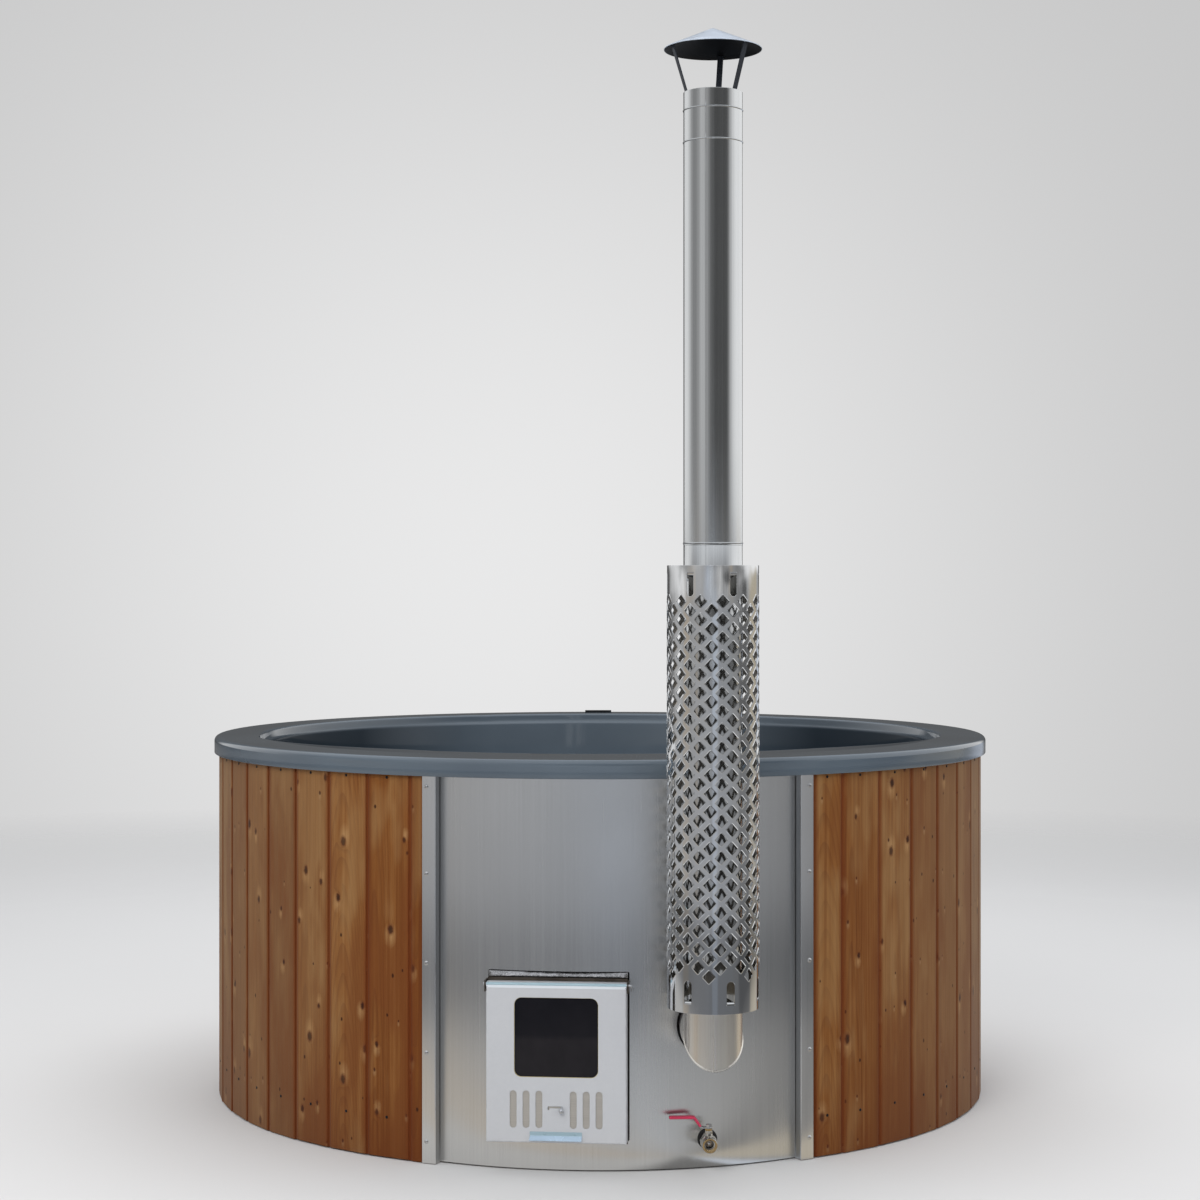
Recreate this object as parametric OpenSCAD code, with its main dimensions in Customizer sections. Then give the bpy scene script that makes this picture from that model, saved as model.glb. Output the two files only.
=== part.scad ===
// Round wood-clad hot tub with a built-in stove, flue and drain valve.
// Frame: origin on the ground under the tub's centre, +Z up, steel front panel towards -Y. Millimetres.

/* [Tub] */
// Outside radius of the timber cladding
tub_r = 1000; // [980:5:1010]
// Height of the rim above the ground
tub_h = 925; // [905:5:960]
// Radial overhang of the rim beyond the cladding
rim_over = 12; // [10:1:25]
// Height of the rim's outer apron
apron_h = 43; // [30:1:60]
// Inside radius of the rim opening
open_r = 896; // [880:1:900]
// Inside radius of the opening over the stove
front_open_r = 800; // [780:1:810]
// Half angle of the cut-back front of the opening
front_half_deg = 50; // [44:1:54]
// Seat height above the ground
seat_z = 510; // [509:1:560]
// Foot well radius
well_r = 476; // [474:1:478]
// Thickness of the moulded liner
liner_t = 6; // [5:0.5:7]

/* [Cladding] */
// Thickness of a board
board_t = 28; // [20:1:28]
// Number of full boards
board_n = 44; // [40:1:48]
// Angle from the front centre to the first board, right side
wood_right = 26.57; // [26.4:0.01:27]
// Width in degrees of the ripped board at the right
ripped_right = 4.70; // [3:0.1:6]
// Width in degrees of the ripped board at the left
ripped_left = 2.11; // [2:0.01:3]
// Width of the shadow channel between boards
channel_w = 8; // [4:0.5:10]
// Height of the lower nail row
nail_low = 95; // [90:1:100]
// Height of the upper nail row
nail_high = 875; // [870:1:885]

/* [Front panel] */
// Radius that the steel sheet is rolled to
panel_r = 840; // [830:5:900]
// Distance of the sheet's face from the tub centre
panel_y = 996; // [994:0.5:996]
// Sheet thickness
panel_t = 1.5; // [1:0.25:2]

/* [Door] */
// Turn of the door about the tub's axis, degrees to the left of the front centre
door_deg = 8.15; // [7:0.05:9]
// Door width
door_w = 315.4; // [312:0.2:316]
// Door bottom above the ground
door_z0 = 72; // [71:0.5:74]
// Door depth
door_d = 30; // [28:1:30]
// Window width
win_w = 189; // [170:1:190]
// Window height
win_h = 178; // [160:1:178]
// Height of the window's centre
win_z = 307; // [305:1:308]
// Damper travel from shut to open
damper_travel = 14.5; // [14:0.1:14.5]

/* [Flue] */
// Flue position to the right of the centre
flue_x = 196; // [194:1:198]
// Flue distance in front of the centre
flue_y = 1115.5; // [1112:0.5:1120]
// Flue outside radius
flue_r = 65; // [64:0.5:65]
// Height of the smoke stub's axis
stub_z = 326; // [322:1:330]
// Top of the upper flue pipe
flue_top = 2398.5; // [2380:0.5:2450]
// Outside radius of the heat guard
guard_r = 101; // [98:0.5:104]
// Bottom of the heat guard
guard_z0 = 390; // [385:1:400]
// Top of the heat guard
guard_z1 = 1360; // [1340:1:1380]
// Outside radius of the rain cap
cap_r = 108; // [100:1:115]

/* [Valve] */
// Height of the drain valve's axis
valve_z = 68; // [67.5:0.1:68]
// Lever length from the stem
lever_l = 88; // [80:1:100]

/* [Hidden] */
$fn = 72;

// cladding layout, angles counted from the front centre towards +X
first_full = wood_right + ripped_right;
last_full = 360 - wood_right - ripped_left;
pitch = (last_full - first_full) / board_n;
board_z0 = 2;
board_z1 = tub_h - liner_t - 7;
ring_ri = 925;
ring_ro = 969.9;
post_deg = 25.55;
rim_r = tub_r + rim_over;

// stove box, object frame
hx0 = -325; hx1 = 300; hy0 = -905; hy1 = -530; hz0 = 86; hz1 = 470;
jg = 22;                // water gap
jt = 3;                 // plate thickness
fx0 = hx0 + jg; fx1 = hx1 - jg; fy0 = hy0 + jg; fy1 = hy1 - jg; fz0 = hz0 + 19; fz1 = hz1 - jg;

// door, in the frame turned by -door_deg: face at -face_y
face_y = 1032;
door_back = face_y - door_d;
hinge_y = face_y - 4.5;
hinge_z = 424.5;
door_top = hinge_z + 4.5;
half_w = door_w / 2;
slot_x = [-96.5, -67.5, -38.5, 38.5, 67.5, 96.5];
slot_w = 15.2;
slot_z0 = 104.5;
slot_z1 = 188;
valve_x = flue_x;
valve_y = -1014;

module box(x0, x1, y0, y1, z0, z1) { translate([x0, y0, z0]) cube([x1 - x0, y1 - y0, z1 - z0]); }
module at(phi) { rotate([0, 0, phi]) children(); }
module doorframe_pose() { rotate([0, 0, -door_deg]) children(); }
module rod_y(x, z, r, y0, y1) { translate([x, y1, z]) rotate([90, 0, 0]) cylinder(r = r, h = y1 - y0); }
module rod_x(y, z, r, x0, x1) { translate([x0, y, z]) rotate([0, 90, 0]) cylinder(r = r, h = x1 - x0); }
module tube_z(x, y, ro, ri, z0, z1) {
    translate([x, y, z0]) difference() {
        cylinder(r = ro, h = z1 - z0);
        translate([0, 0, -1]) cylinder(r = ri, h = z1 - z0 + 2);
    }
}
module tube_y(x, z, ro, ri, y0, y1) {
    difference() { rod_y(x, z, ro, y0, y1); rod_y(x, z, ri, y0 - 1, y1 + 1); }
}
module ring_sector(ri, ro, z0, z1, a0, a1) {
    rotate([0, 0, a0 - 90]) rotate_extrude(angle = a1 - a0, $fn = 180)
        translate([ri, z0]) square([ro - ri, z1 - z0]);
}

// ---------- timber ----------
module base_joists() {
    color([0.55, 0.45, 0.30]) {
        box(-22.5, 22.5, -510, 960, 0, 72);
        for (s = [-1, 1]) {
            box(s * 320 - 22.5, s * 320 + 22.5, -510, 900, 0, 72);
            box(s * 640 - 22.5, s * 640 + 22.5, -700, 700, 0, 72);
        }
    }
}
// one plank of the floor between x0 and x1, its ends following the round outline where they reach it
module plank(x0, x1, y0, y1) {
    translate([0, 0, 72]) intersection() {
        cylinder(r = 924, h = 18, $fn = 180);
        box(x0, x1, y0 + 0.5, y1 - 0.5, -1, 19);
    }
}
module floor_boards() {
    w = 119.6;
    color([0.62, 0.50, 0.33]) {
        for (k = [2:11]) plank(-1000, 1000, -511 + k * w, -511 + (k + 1) * w);
        // the two front rows leave a gap for the drain elbow
        for (k = [0:1]) {
            plank(-1000, valve_x - 27, -511 + k * w, -511 + (k + 1) * w);
            plank(valve_x + 27, 1000, -511 + k * w, -511 + (k + 1) * w);
        }
        // short lengths beside the stove
        for (k = [-3:-1]) {
            plank(-1000, -350, -511 + k * w, -511 + (k + 1) * w);
            plank(325, 1000, -511 + k * w, -511 + (k + 1) * w);
        }
    }
}
module heater_bearers() {
    color([0.50, 0.42, 0.30]) {
        box(-300, -255, -895, -540, 0, hz0);
        box(236, 281, -895, -540, 0, hz0);
    }
}
module nail_bores(r, d0, z) {
    for (k = [0:board_n - 1]) at(first_full + (k + 0.5) * pitch) rod_y(0, z, r, -tub_r - 5, -d0);
    at(wood_right + ripped_right / 2) rod_y(0, z, r, -tub_r - 5, -d0);
}
module lower_ring() {
    color([0.55, 0.45, 0.30]) difference() {
        ring_sector(ring_ri, ring_ro, 72, 117, 24.3, 335.7);
        nail_bores(1.5, 950, nail_low);
    }
}
module upper_ring() {
    color([0.55, 0.45, 0.30]) difference() {
        translate([0, 0, 853]) difference() {
            cylinder(r = ring_ro, h = tub_h - liner_t - 853, $fn = 180);
            translate([0, 0, -1]) cylinder(r = ring_ri, h = 100, $fn = 180);
        }
        nail_bores(1.5, 950, nail_high);
    }
}
module studs() {
    color([0.58, 0.47, 0.32]) for (a = [45:30:315]) at(a) box(-22.5, 22.5, -969.5, -925.5, 117, 853);
}
module bench_posts() {
    color([0.58, 0.47, 0.32]) for (a = [60:40:300]) at(a) box(-22.5, 22.5, -672.5, -627.5, 90, seat_z - liner_t);
}
module front_posts() {
    color([0.50, 0.36, 0.24]) for (s = [-1, 1]) at(s * post_deg) difference() {
        box(-14.5, 14.5, -1001.4, -970.2, board_z0, board_z1);
        for (z = [51, 253, 457, 660, 858]) rod_y(s * 6, z, 1.9, -1010, -972);
    }
}

// one board between two angles: bevelled sides, tongue to the right, groove and shadow channel to the left
function bp(u, d, ap) = [u * (ap - d) / ap, -(ap - d)];
module board_outline(a0, a1, tongue) {
    half = (a1 - a0) / 2;
    ap = tub_r * cos(half);
    hw = tub_r * sin(half);
    g = 0.15;
    polygon([bp(-hw + g, 5, ap), bp(-hw + channel_w - 1, 5, ap), bp(-hw + channel_w, 1.2, ap),
        bp(-hw + channel_w + 1.2, 0, ap), bp(hw - 1.2 - g, 0, ap), bp(hw - g, 1.2, ap),
        bp(hw - g, 11.8, ap), bp(hw - g + (tongue ? 6 : 0), 12, ap), bp(hw - g + (tongue ? 6 : 0), 16, ap), bp(hw - g, 16.2, ap),
        bp(hw - g, board_t, ap), bp(-hw + g, board_t, ap), bp(-hw + g, 17.6, ap), bp(-hw + g + 8, 17.2, ap),
        bp(-hw + g + 8, 10, ap), bp(-hw + g, 9.6, ap)]);
}
module board(a0, a1, nailed, tongue = true) {
    at((a0 + a1) / 2) difference() {
        translate([0, 0, board_z0]) linear_extrude(height = board_z1 - board_z0) board_outline(a0, a1, tongue);
        if (nailed) for (z = [nail_low, nail_high]) rod_y(0, z, 1.5, -tub_r - 5, -960);
    }
}
module board_run(k0, k1) {
    for (k = [k0:k1]) board(first_full + k * pitch, first_full + (k + 1) * pitch, true);
}
module cladding_front_right() { color([0.47, 0.28, 0.16]) { board(wood_right, first_full, true); board_run(0, 10); } }
module cladding_rear_right() { color([0.45, 0.27, 0.16]) board_run(11, 21); }
module cladding_rear_left() { color([0.45, 0.27, 0.16]) board_run(22, 32); }
module cladding_front_left() { color([0.47, 0.28, 0.16]) { board_run(33, board_n - 1); board(last_full, 360 - wood_right, false, false); } }
module nail(a, ap) {
    at(a) for (z = [nail_low, nail_high]) {
        rod_y(0, z, 1.4, -ap, -950.5);
        rod_y(0, z, 3.6, -ap - 1, -ap - 0.02);
    }
}
module cladding_nails() {
    color([0.06, 0.06, 0.07]) {
        for (k = [0:board_n - 1]) nail(first_full + (k + 0.5) * pitch, tub_r * cos(pitch / 2));
        nail(wood_right + ripped_right / 2, tub_r * cos(ripped_right / 2));
    }
}

// ---------- liner ----------
// section of the shell: ro is the inner edge of the rim, going out to the apron and down to the foot well
module liner_section(ro) {
    t = liner_t;
    polygon([[rim_r, tub_h - apron_h], [rim_r, tub_h - 9], [rim_r - 2.6, tub_h - 2.6], [rim_r - 9, tub_h],
        [ro + 5, tub_h], [ro, tub_h - 5], [ro - 3, tub_h - 20], [ro - 12, tub_h - 24], [ro - 36, seat_z + 18],
        [ro - 54, seat_z], [well_r + 14, seat_z], [well_r, seat_z - 14], [well_r, 110], [well_r - 14, 96],
        [0, 96], [0, 96 - t], [well_r - 12, 96 - t], [well_r + t, 108], [well_r + t, seat_z - 16],
        [well_r + 16, seat_z - t], [ro - 50, seat_z - t], [ro - 30, seat_z + 16], [ro - 6, tub_h - 28],
        [ro + 3, tub_h - 24], [ro + 6, tub_h - 8], [ro + 8, tub_h - t],
        [rim_r - 10, tub_h - t], [rim_r - t, tub_h - 10], [rim_r - t, tub_h - apron_h]]);
}
// the cut-back front: filled from its inner face out to the middle of the round shell's wall
module front_fill() {
    a = front_open_r;
    b = open_r;
    polygon([[a + 5, tub_h], [a, tub_h - 5], [a - 3, tub_h - 20], [a - 12, tub_h - 24], [a - 36, seat_z + 18],
        [a - 54, seat_z], [a - 54, seat_z - 3], [b - 50, seat_z - 3], [b - 33, seat_z + 17], [b - 9, tub_h - 26],
        [b, tub_h - 22], [b + 3, tub_h - 6.5], [b + 9, tub_h - 3], [b + 9, tub_h]]);
}
// the space behind it, which leaves a shell of the same thickness and opens the round wall behind
module front_hollow() {
    a = front_open_r;
    b = open_r;
    t = liner_t;
    polygon([[a + 8, tub_h - t + 0.5], [a + 6, tub_h - 8], [a + 3, tub_h - 24], [a - 6, tub_h - 28], [a - 30, seat_z + 16],
        [a - 47, seat_z - 12], [b + 12, seat_z - 12], [b + 12, tub_h - t + 0.5]]);
}
module liner() {
    fh = front_half_deg;
    wall = 0.4;
    color([0.23, 0.27, 0.31]) difference() {
        union() {
            rotate_extrude($fn = 180) liner_section(open_r);
            rotate([0, 0, -fh - 90]) rotate_extrude(angle = 2 * fh, $fn = 180) front_fill();
        }
        rotate([0, 0, -fh + wall - 90]) rotate_extrude(angle = 2 * (fh - wall), $fn = 180) front_hollow();
        // two water ports in the foot well wall and the drain hole in its floor
        for (z = [150, 420]) rod_y(0, z, 24.3, -well_r - 40, -well_r + 40);
        translate([valve_x, -380, 60]) cylinder(r = 20.3, h = 60);
    }
}
module rim_clip() {
    color([0.05, 0.05, 0.06]) at(177.62) {
        box(-40, 40, -rim_r - 3.2, -rim_r + 26, tub_h, tub_h + 4.3);
        box(-40, 40, -rim_r - 3.2, -rim_r - 0.3, tub_h - 30, tub_h + 4.3);
    }
}

// ---------- front panel and trims ----------
module front_panel() {
    pa = asin(404.5 / panel_r);
    color([0.62, 0.62, 0.62]) difference() {
        translate([0, -(panel_y - panel_r), 4]) rotate([0, 0, -90 - pa])
            rotate_extrude(angle = 2 * pa, $fn = 180) translate([panel_r - panel_t, 0]) square([panel_t, board_z1 - 4]);
        doorframe_pose() box(-160, 160, -1040, -900, 69, 449);
        rod_y(flue_x, stub_z, 73, -1100, -900);
        rod_y(valve_x, valve_z, 20, -1100, -900);
    }
}
module trim(s) {
    color([0.68, 0.68, 0.68]) at(s * post_deg) difference() {
        union() {
            box(-17, 17, -1003, -1001.5, board_z0, board_z1);
            if (s > 0) box(-17, -15.5, -1003, -977, board_z0, board_z1);
            else box(15.5, 17, -1003, -977, board_z0, board_z1);
        }
        for (z = [51, 253, 457, 660, 858]) rod_y(s * 6, z, 2.1, -1010, -990);
    }
}
module left_trim() { trim(-1); }
module right_trim() { trim(1); }
module trim_screws() {
    color([0.72, 0.72, 0.72]) for (s = [-1, 1]) at(s * post_deg) for (z = [51, 253, 457, 660, 858]) {
        rod_y(s * 6, z, 1.8, -1003.5, -974);
        translate([s * 6, -1003, z]) rotate([90, 0, 0]) intersection() {
            translate([0, 0, -3.2]) sphere(r = 6.2, $fn = 32);
            cylinder(r = 8, h = 8);
        }
    }
}

// ---------- stove ----------
module collar_solid(m) { doorframe_pose() box(-152 - m, 152 + m, -1000, -840, 112 - m, 423 + m); }
module water_jacket() {
    color([0.55, 0.56, 0.57]) difference() {
        union() {
            difference() {
                box(hx0, hx1, hy0, hy1, hz0, hz1);
                box(hx0 + jt, hx1 - jt, hy0 + jt, hy1 - jt, hz0 + jt, hz1 - jt);
            }
            for (z = [150, 420]) rod_y(0, z, 24, hy1 - jt, hy1 + 15);
        }
        for (z = [150, 420]) rod_y(0, z, 20, hy1 - jt - 5, hy1 + 20);
        collar_solid(0.1);
        rod_y(flue_x, stub_z, flue_r - 1, hy0 - 5, hy0 + jt + 5);
    }
}
module firebox() {
    color([0.40, 0.40, 0.41]) difference() {
        box(fx0, fx1, fy0, fy1, fz0, fz1);
        box(fx0 + jt, fx1 - jt, fy0 + jt, fy1 - jt, fz0 + jt, fz1 - jt);
        collar_solid(0.1);
        rod_y(flue_x, stub_z, flue_r - 1, fy0 - 5, fy0 + jt + 5);
    }
}
module baffle_plate() { color([0.35, 0.35, 0.36]) box(96, 99, fy0 + jt, fy0 + 240, fz0 + jt, fz1 - jt); }
module fire_grate() {
    gz = fz0 + jt;
    color([0.20, 0.19, 0.19]) difference() {
        union() {
            box(-292, 88, -872, -562, gz + 20, gz + 32);
            for (x = [-292, 66]) for (y = [-872, -584]) box(x, x + 22, y, y + 22, gz, gz + 21);
        }
        for (i = [0:11]) box(-262 + i * 27, -248 + i * 27, -850, -584, gz - 1, gz + 40);
    }
}
module heater_mat() { color([0.72, 0.70, 0.66]) box(hx0 + 5, hx1 - 5, -750, hy1 - 5, hz1, seat_z - liner_t - 6); }
module door_frame() {
    color([0.45, 0.42, 0.38]) {
        difference() {
            doorframe_pose() difference() {
                union() {
                    box(-152, 152, -999, -840, 112, 423);
                    box(-158, 158, -1001, -998, 66, 436);
                    for (s = [-1, 1]) box(s < 0 ? -161.7 : 155, s < 0 ? -155 : 161.7, -1001, -998, 408, 433);
                    for (s = [-1, 1]) box(s < 0 ? -161.7 : 159.2, s < 0 ? -159.2 : 161.7, -1033, -998, 408, 433);
                }
                box(-149, 149, -1010, -830, 115, 420);
                rod_x(-hinge_y, hinge_z, 3.02, -170, 170);
            }
            box(-400, 400, fy0 + 1.5, -700, 90, 460);
        }
    }
}
module collar_insulation() {
    color([0.70, 0.69, 0.67]) difference() {
        doorframe_pose() {
            box(-157, 157, -988, -860, 437, 447);
            box(-153, 153, -1002.5, -987, 436.5, 445.5);
        }
        box(-400, 400, hy0 - 1, -700, 400, 470);
    }
}
module hinge_rod() {
    color([0.75, 0.76, 0.78]) doorframe_pose() {
        rod_x(-hinge_y, hinge_z, 3, -164.5, 165);
        translate([165, -hinge_y, hinge_z - 5]) rotate([90, 0, 0]) rotate_extrude(angle = 90, $fn = 32) translate([5, 0]) circle(r = 3, $fn = 32);
        translate([170, -hinge_y, hinge_z - 13]) cylinder(r = 3, h = 8);
    }
}

// ---------- door ----------
module slot_cut(x, w, z0, z1, y0, y1) {
    rod_y(x, z0 + w / 2, w / 2, y0, y1);
    rod_y(x, z1 - w / 2, w / 2, y0, y1);
    box(x - w / 2, x + w / 2, y0, y1, z0 + w / 2, z1 - w / 2);
}
module rounded_cut(w, h, r, zc, y0, y1) {
    for (sx = [-1, 1]) for (sz = [-1, 1]) rod_y(sx * (w / 2 - r), zc + sz * (h / 2 - r), r, y0, y1);
    box(-w / 2 + r, w / 2 - r, y0, y1, zc - h / 2, zc + h / 2);
    box(-w / 2, w / 2, y0, y1, zc - h / 2 + r, zc + h / 2 - r);
}
module door_shell() {
    t = 2;
    color([0.70, 0.71, 0.73]) doorframe_pose() difference() {
        union() {
            difference() {
                box(-half_w, half_w, -face_y, -door_back, door_z0, hinge_z);
                box(-half_w + t, half_w - t, -face_y + t, -door_back + 1, door_z0 + t, hinge_z + 1);
            }
            for (s = [-1, 1]) box(s < 0 ? -half_w : half_w - t, s < 0 ? -half_w + t : half_w, -hinge_y, -door_back, hinge_z - 1, door_top);
            box(-half_w, half_w, -hinge_y, -door_back, door_top - t, door_top);
            rod_x(-hinge_y, hinge_z, 4.5, -half_w, half_w);
        }
        rod_x(-hinge_y, hinge_z, 3.08, -half_w - 1, half_w + 1);
        rounded_cut(win_w, win_h, 16.5, win_z, -face_y - 1, -face_y + t + 1);
        for (x = slot_x) slot_cut(x, slot_w, slot_z0, slot_z1, -face_y - 1, -face_y + t + 1);
        // guide slot of the damper pin with its down-turned left end
        box(-16.5, 12.4, -face_y - 1, -face_y + t + 1, 149.3, 153.7);
        rod_y(12.4, 151.5, 2.2, -face_y - 1, -face_y + t + 1);
        rod_y(-16.5, 151.5, 2.2, -face_y - 1, -face_y + t + 1);
        rod_y(-16.5, 147.5, 2.2, -face_y - 1, -face_y + t + 1);
        box(-18.7, -14.3, -face_y - 1, -face_y + t + 1, 147.5, 151.5);
    }
}
module glass_gasket() {
    color([0.12, 0.12, 0.12]) doorframe_pose() difference() {
        box(-104, 104, -face_y + 2, -face_y + 4, 209, 405);
        box(-96, 96, -face_y + 1, -face_y + 5, 217, 397);
    }
}
module door_glass() { color([0.06, 0.06, 0.07, 0.9]) doorframe_pose() box(-104, 104, -face_y + 4, -face_y + 8, 209, 405); }
module glass_clips() {
    color([0.62, 0.62, 0.62]) doorframe_pose() for (sx = [-1, 1]) for (sz = [-1, 1]) difference() {
        union() {
            box(sx < 0 ? -122 : 92, sx < 0 ? -92 : 122, -face_y + 8, -face_y + 9.5, win_z + sz * 60 - 8, win_z + sz * 60 + 8);
            box(sx < 0 ? -122 : 106, sx < 0 ? -106 : 122, -face_y + 2, -face_y + 8, win_z + sz * 60 - 8, win_z + sz * 60 + 8);
        }
        rod_y(sx * 114, win_z + sz * 60, 2.1, -face_y + 1, -face_y + 12);
    }
}
module clip_screws() {
    color([0.66, 0.66, 0.66]) doorframe_pose() for (sx = [-1, 1]) for (sz = [-1, 1]) {
        rod_y(sx * 114, win_z + sz * 60, 2, -face_y + 2, -face_y + 9.5);
        rod_y(sx * 114, win_z + sz * 60, 3.8, -face_y + 9.5, -face_y + 12);
    }
}
module door_seal() {
    color([0.25, 0.25, 0.24]) doorframe_pose() difference() {
        box(-half_w + 2, half_w - 2, -door_back - 7, -door_back + 0.6, door_z0 + 2, 418);
        box(-146.5, 146.5, -door_back - 8, -door_back + 2, 121, 409);
        box(-160, 160, -door_back - 8, -door_back + 2, 60, 112);
    }
}
module door_handle() {
    color([0.66, 0.76, 0.84]) doorframe_pose() translate([-59, 0, 0]) rotate([90, 0, 90])
        linear_extrude(height = 117) polygon([[-face_y, 88], [-face_y, 97], [-face_y - 1.5, 97], [-face_y - 1.5, 88.6],
            [-face_y - 13, 80], [-face_y - 12, 78.7]]);
}
module damper_guides() {
    color([0.62, 0.62, 0.62]) doorframe_pose() for (s = [0, 1]) {
        z0 = s == 0 ? 92 : 196.3;
        box(-135, 135, -face_y + 2, -face_y + 4.6, z0, z0 + 4.7);
        box(-135, 135, -face_y + 4.6, -face_y + 6.1, s == 0 ? 92 : 190, s == 0 ? 103 : 201);
        // end stops of the plate: shut at the right, open at the left
        box(-129, -126.8, -face_y + 2.2, -face_y + 4.8, s == 0 ? 96 : 188, s == 0 ? 104 : 197);
        box(126.3, 128.5, -face_y + 2.2, -face_y + 4.8, s == 0 ? 96 : 188, s == 0 ? 104 : 197);
    }
}
module damper_plate() {
    color([0.55, 0.53, 0.50]) doorframe_pose() difference() {
        box(-112, 126, -face_y + 2.3, -face_y + 4.3, 97, 196);
        for (x = slot_x) slot_cut(x + damper_travel, 13, slot_z0 + 1, slot_z1 - 1, -face_y + 1, -face_y + 6);
        rod_y(12.3, 151.5, 1.9, -face_y + 1, -face_y + 6);
    }
}
module damper_knob() {
    color([0.80, 0.81, 0.83]) doorframe_pose() {
        rod_y(12.3, 151.5, 1.9, -face_y - 5, -face_y + 4.3);
        translate([12.3, -face_y - 5, 151.5]) sphere(r = 2.5, $fn = 32);
        translate([12.3, -face_y - 5, 145]) cylinder(r = 1.9, h = 6.5, $fn = 32);
        translate([12.3, -face_y - 6.4, 144.6]) sphere(r = 5.6, $fn = 32);
        rod_y(12.3, 151.5, 4, -face_y + 4.3, -face_y + 5.5);
    }
}

// ---------- water circuit ----------
module water_hoses() {
    color([0.10, 0.10, 0.10]) for (z = [150, 420]) tube_y(0, z, 28.4, 24.05, hy1 + 3, -498.5);
}
module hose_clamps() {
    color([0.70, 0.70, 0.70]) for (z = [150, 420]) for (y = [-525, -509]) {
        tube_y(0, z, 29.6, 28.42, y, y + 8);
        difference() {
            box(-9, 9, y, y + 8, z + 28.6, z + 37);
            rod_y(0, z, 29.2, y - 1, y + 9);
        }
    }
}
module wall_fittings() {
    color([0.85, 0.85, 0.84]) for (z = [150, 420]) difference() {
        union() {
            rod_y(0, z, 24, -511, -470);
            rod_y(0, z, 42, -474, -469);
        }
        rod_y(0, z, 20, -520, -460);
    }
}
module fitting_nuts() {
    color([0.82, 0.82, 0.80]) for (z = [150, 420]) difference() {
        translate([0, -484.3, z]) rotate([90, 0, 0]) cylinder(r = 36, h = 12, $fn = 6);
        rod_y(0, z, 24.05, -500, -480);
    }
}
module water_grilles() {
    color([0.85, 0.85, 0.84]) for (z = [150, 420]) difference() {
        rod_y(0, z, 38, -469, -465);
        for (i = [-2:2]) box(-3 + i * 10, 3 + i * 10, -480, -460, z - 20 + abs(i) * 3, z + 20 - abs(i) * 3);
    }
}

// ---------- drain ----------
module drain_flange() {
    color([0.85, 0.85, 0.84]) translate([valve_x, -380, 0]) difference() {
        union() {
            translate([0, 0, 96]) cylinder(r = 33, h = 4);
            translate([0, 0, 66]) cylinder(r = 20, h = 31);
        }
        translate([0, 0, 60]) cylinder(r = 16, h = 37);
        for (a = [0:60:300]) rotate([0, 0, a]) translate([9.5, 0, 90]) cylinder(r = 3.2, h = 20, $fn = 24);
        translate([0, 0, 90]) cylinder(r = 3.2, h = 20, $fn = 24);
    }
}
module drain_elbow() {
    color([0.45, 0.45, 0.46]) difference() {
        union() {
            translate([valve_x, -380, 46]) cylinder(r = 25, h = 40);
            rod_y(valve_x, valve_z, 17.5, -425, -390);
        }
        translate([valve_x, -380, 66]) cylinder(r = 20.05, h = 40);
        translate([valve_x, -380, 50]) cylinder(r = 16, h = 30);
        rod_y(valve_x, valve_z, 10.5, -430, -385);
        rod_y(valve_x, valve_z, 13.55, -430, -408);
    }
}
module drain_pipe() { color([0.65, 0.65, 0.66]) tube_y(valve_x, valve_z, 13.5, 10.5, -983, -408); }
module panel_grommet() { color([0.05, 0.05, 0.05]) tube_y(valve_x, valve_z, 19.4, 13.55, -981, -955); }
module valve_body() {
    color([0.74, 0.73, 0.70]) difference() {
        union() {
            translate([valve_x, -983, valve_z]) rotate([90, 0, 0]) cylinder(r = 18.6, h = 15, $fn = 6);
            rod_y(valve_x, valve_z, 16, -1032, -997);
            translate([valve_x, valve_y, valve_z]) sphere(r = 19, $fn = 64);
            rod_y(valve_x, valve_z, 17.2, -1047, -1030);
            translate([valve_x, valve_y, valve_z + 10]) cylinder(r = 8.5, h = 17);
        }
        rod_y(valve_x, valve_z, 9.5, -1050, -975);
        rod_y(valve_x, valve_z, 12.1, -1050, -1033);
        translate([valve_x, valve_y, valve_z]) sphere(r = 12.9, $fn = 64);
        translate([valve_x, valve_y, valve_z + 5]) cylinder(r = 4.05, h = 40);
    }
}
module gland_nut() {
    color([0.76, 0.68, 0.42]) translate([valve_x, valve_y, valve_z + 27]) difference() {
        cylinder(r = 8.2, h = 5, $fn = 6);
        translate([0, 0, -1]) cylinder(r = 4.05, h = 10);
    }
}
module valve_ball() {
    color([0.85, 0.86, 0.88]) difference() {
        translate([valve_x, valve_y, valve_z]) sphere(r = 12.55, $fn = 64);
        rod_x(valve_y, valve_z, 9, valve_x - 20, valve_x + 20);
        box(valve_x - 10, valve_x + 10, valve_y - 1.6, valve_y + 1.6, valve_z + 9.8, valve_z + 20);
    }
}
module valve_stem() {
    color([0.78, 0.79, 0.80]) {
        translate([valve_x, valve_y, valve_z + 13]) cylinder(r = 4, h = 28.5);
        intersection() {
            translate([valve_x, valve_y, valve_z + 10]) cylinder(r = 4, h = 4);
            box(valve_x - 3.5, valve_x + 3.5, valve_y - 1.5, valve_y + 1.5, valve_z + 10, valve_z + 14);
        }
    }
}
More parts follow.
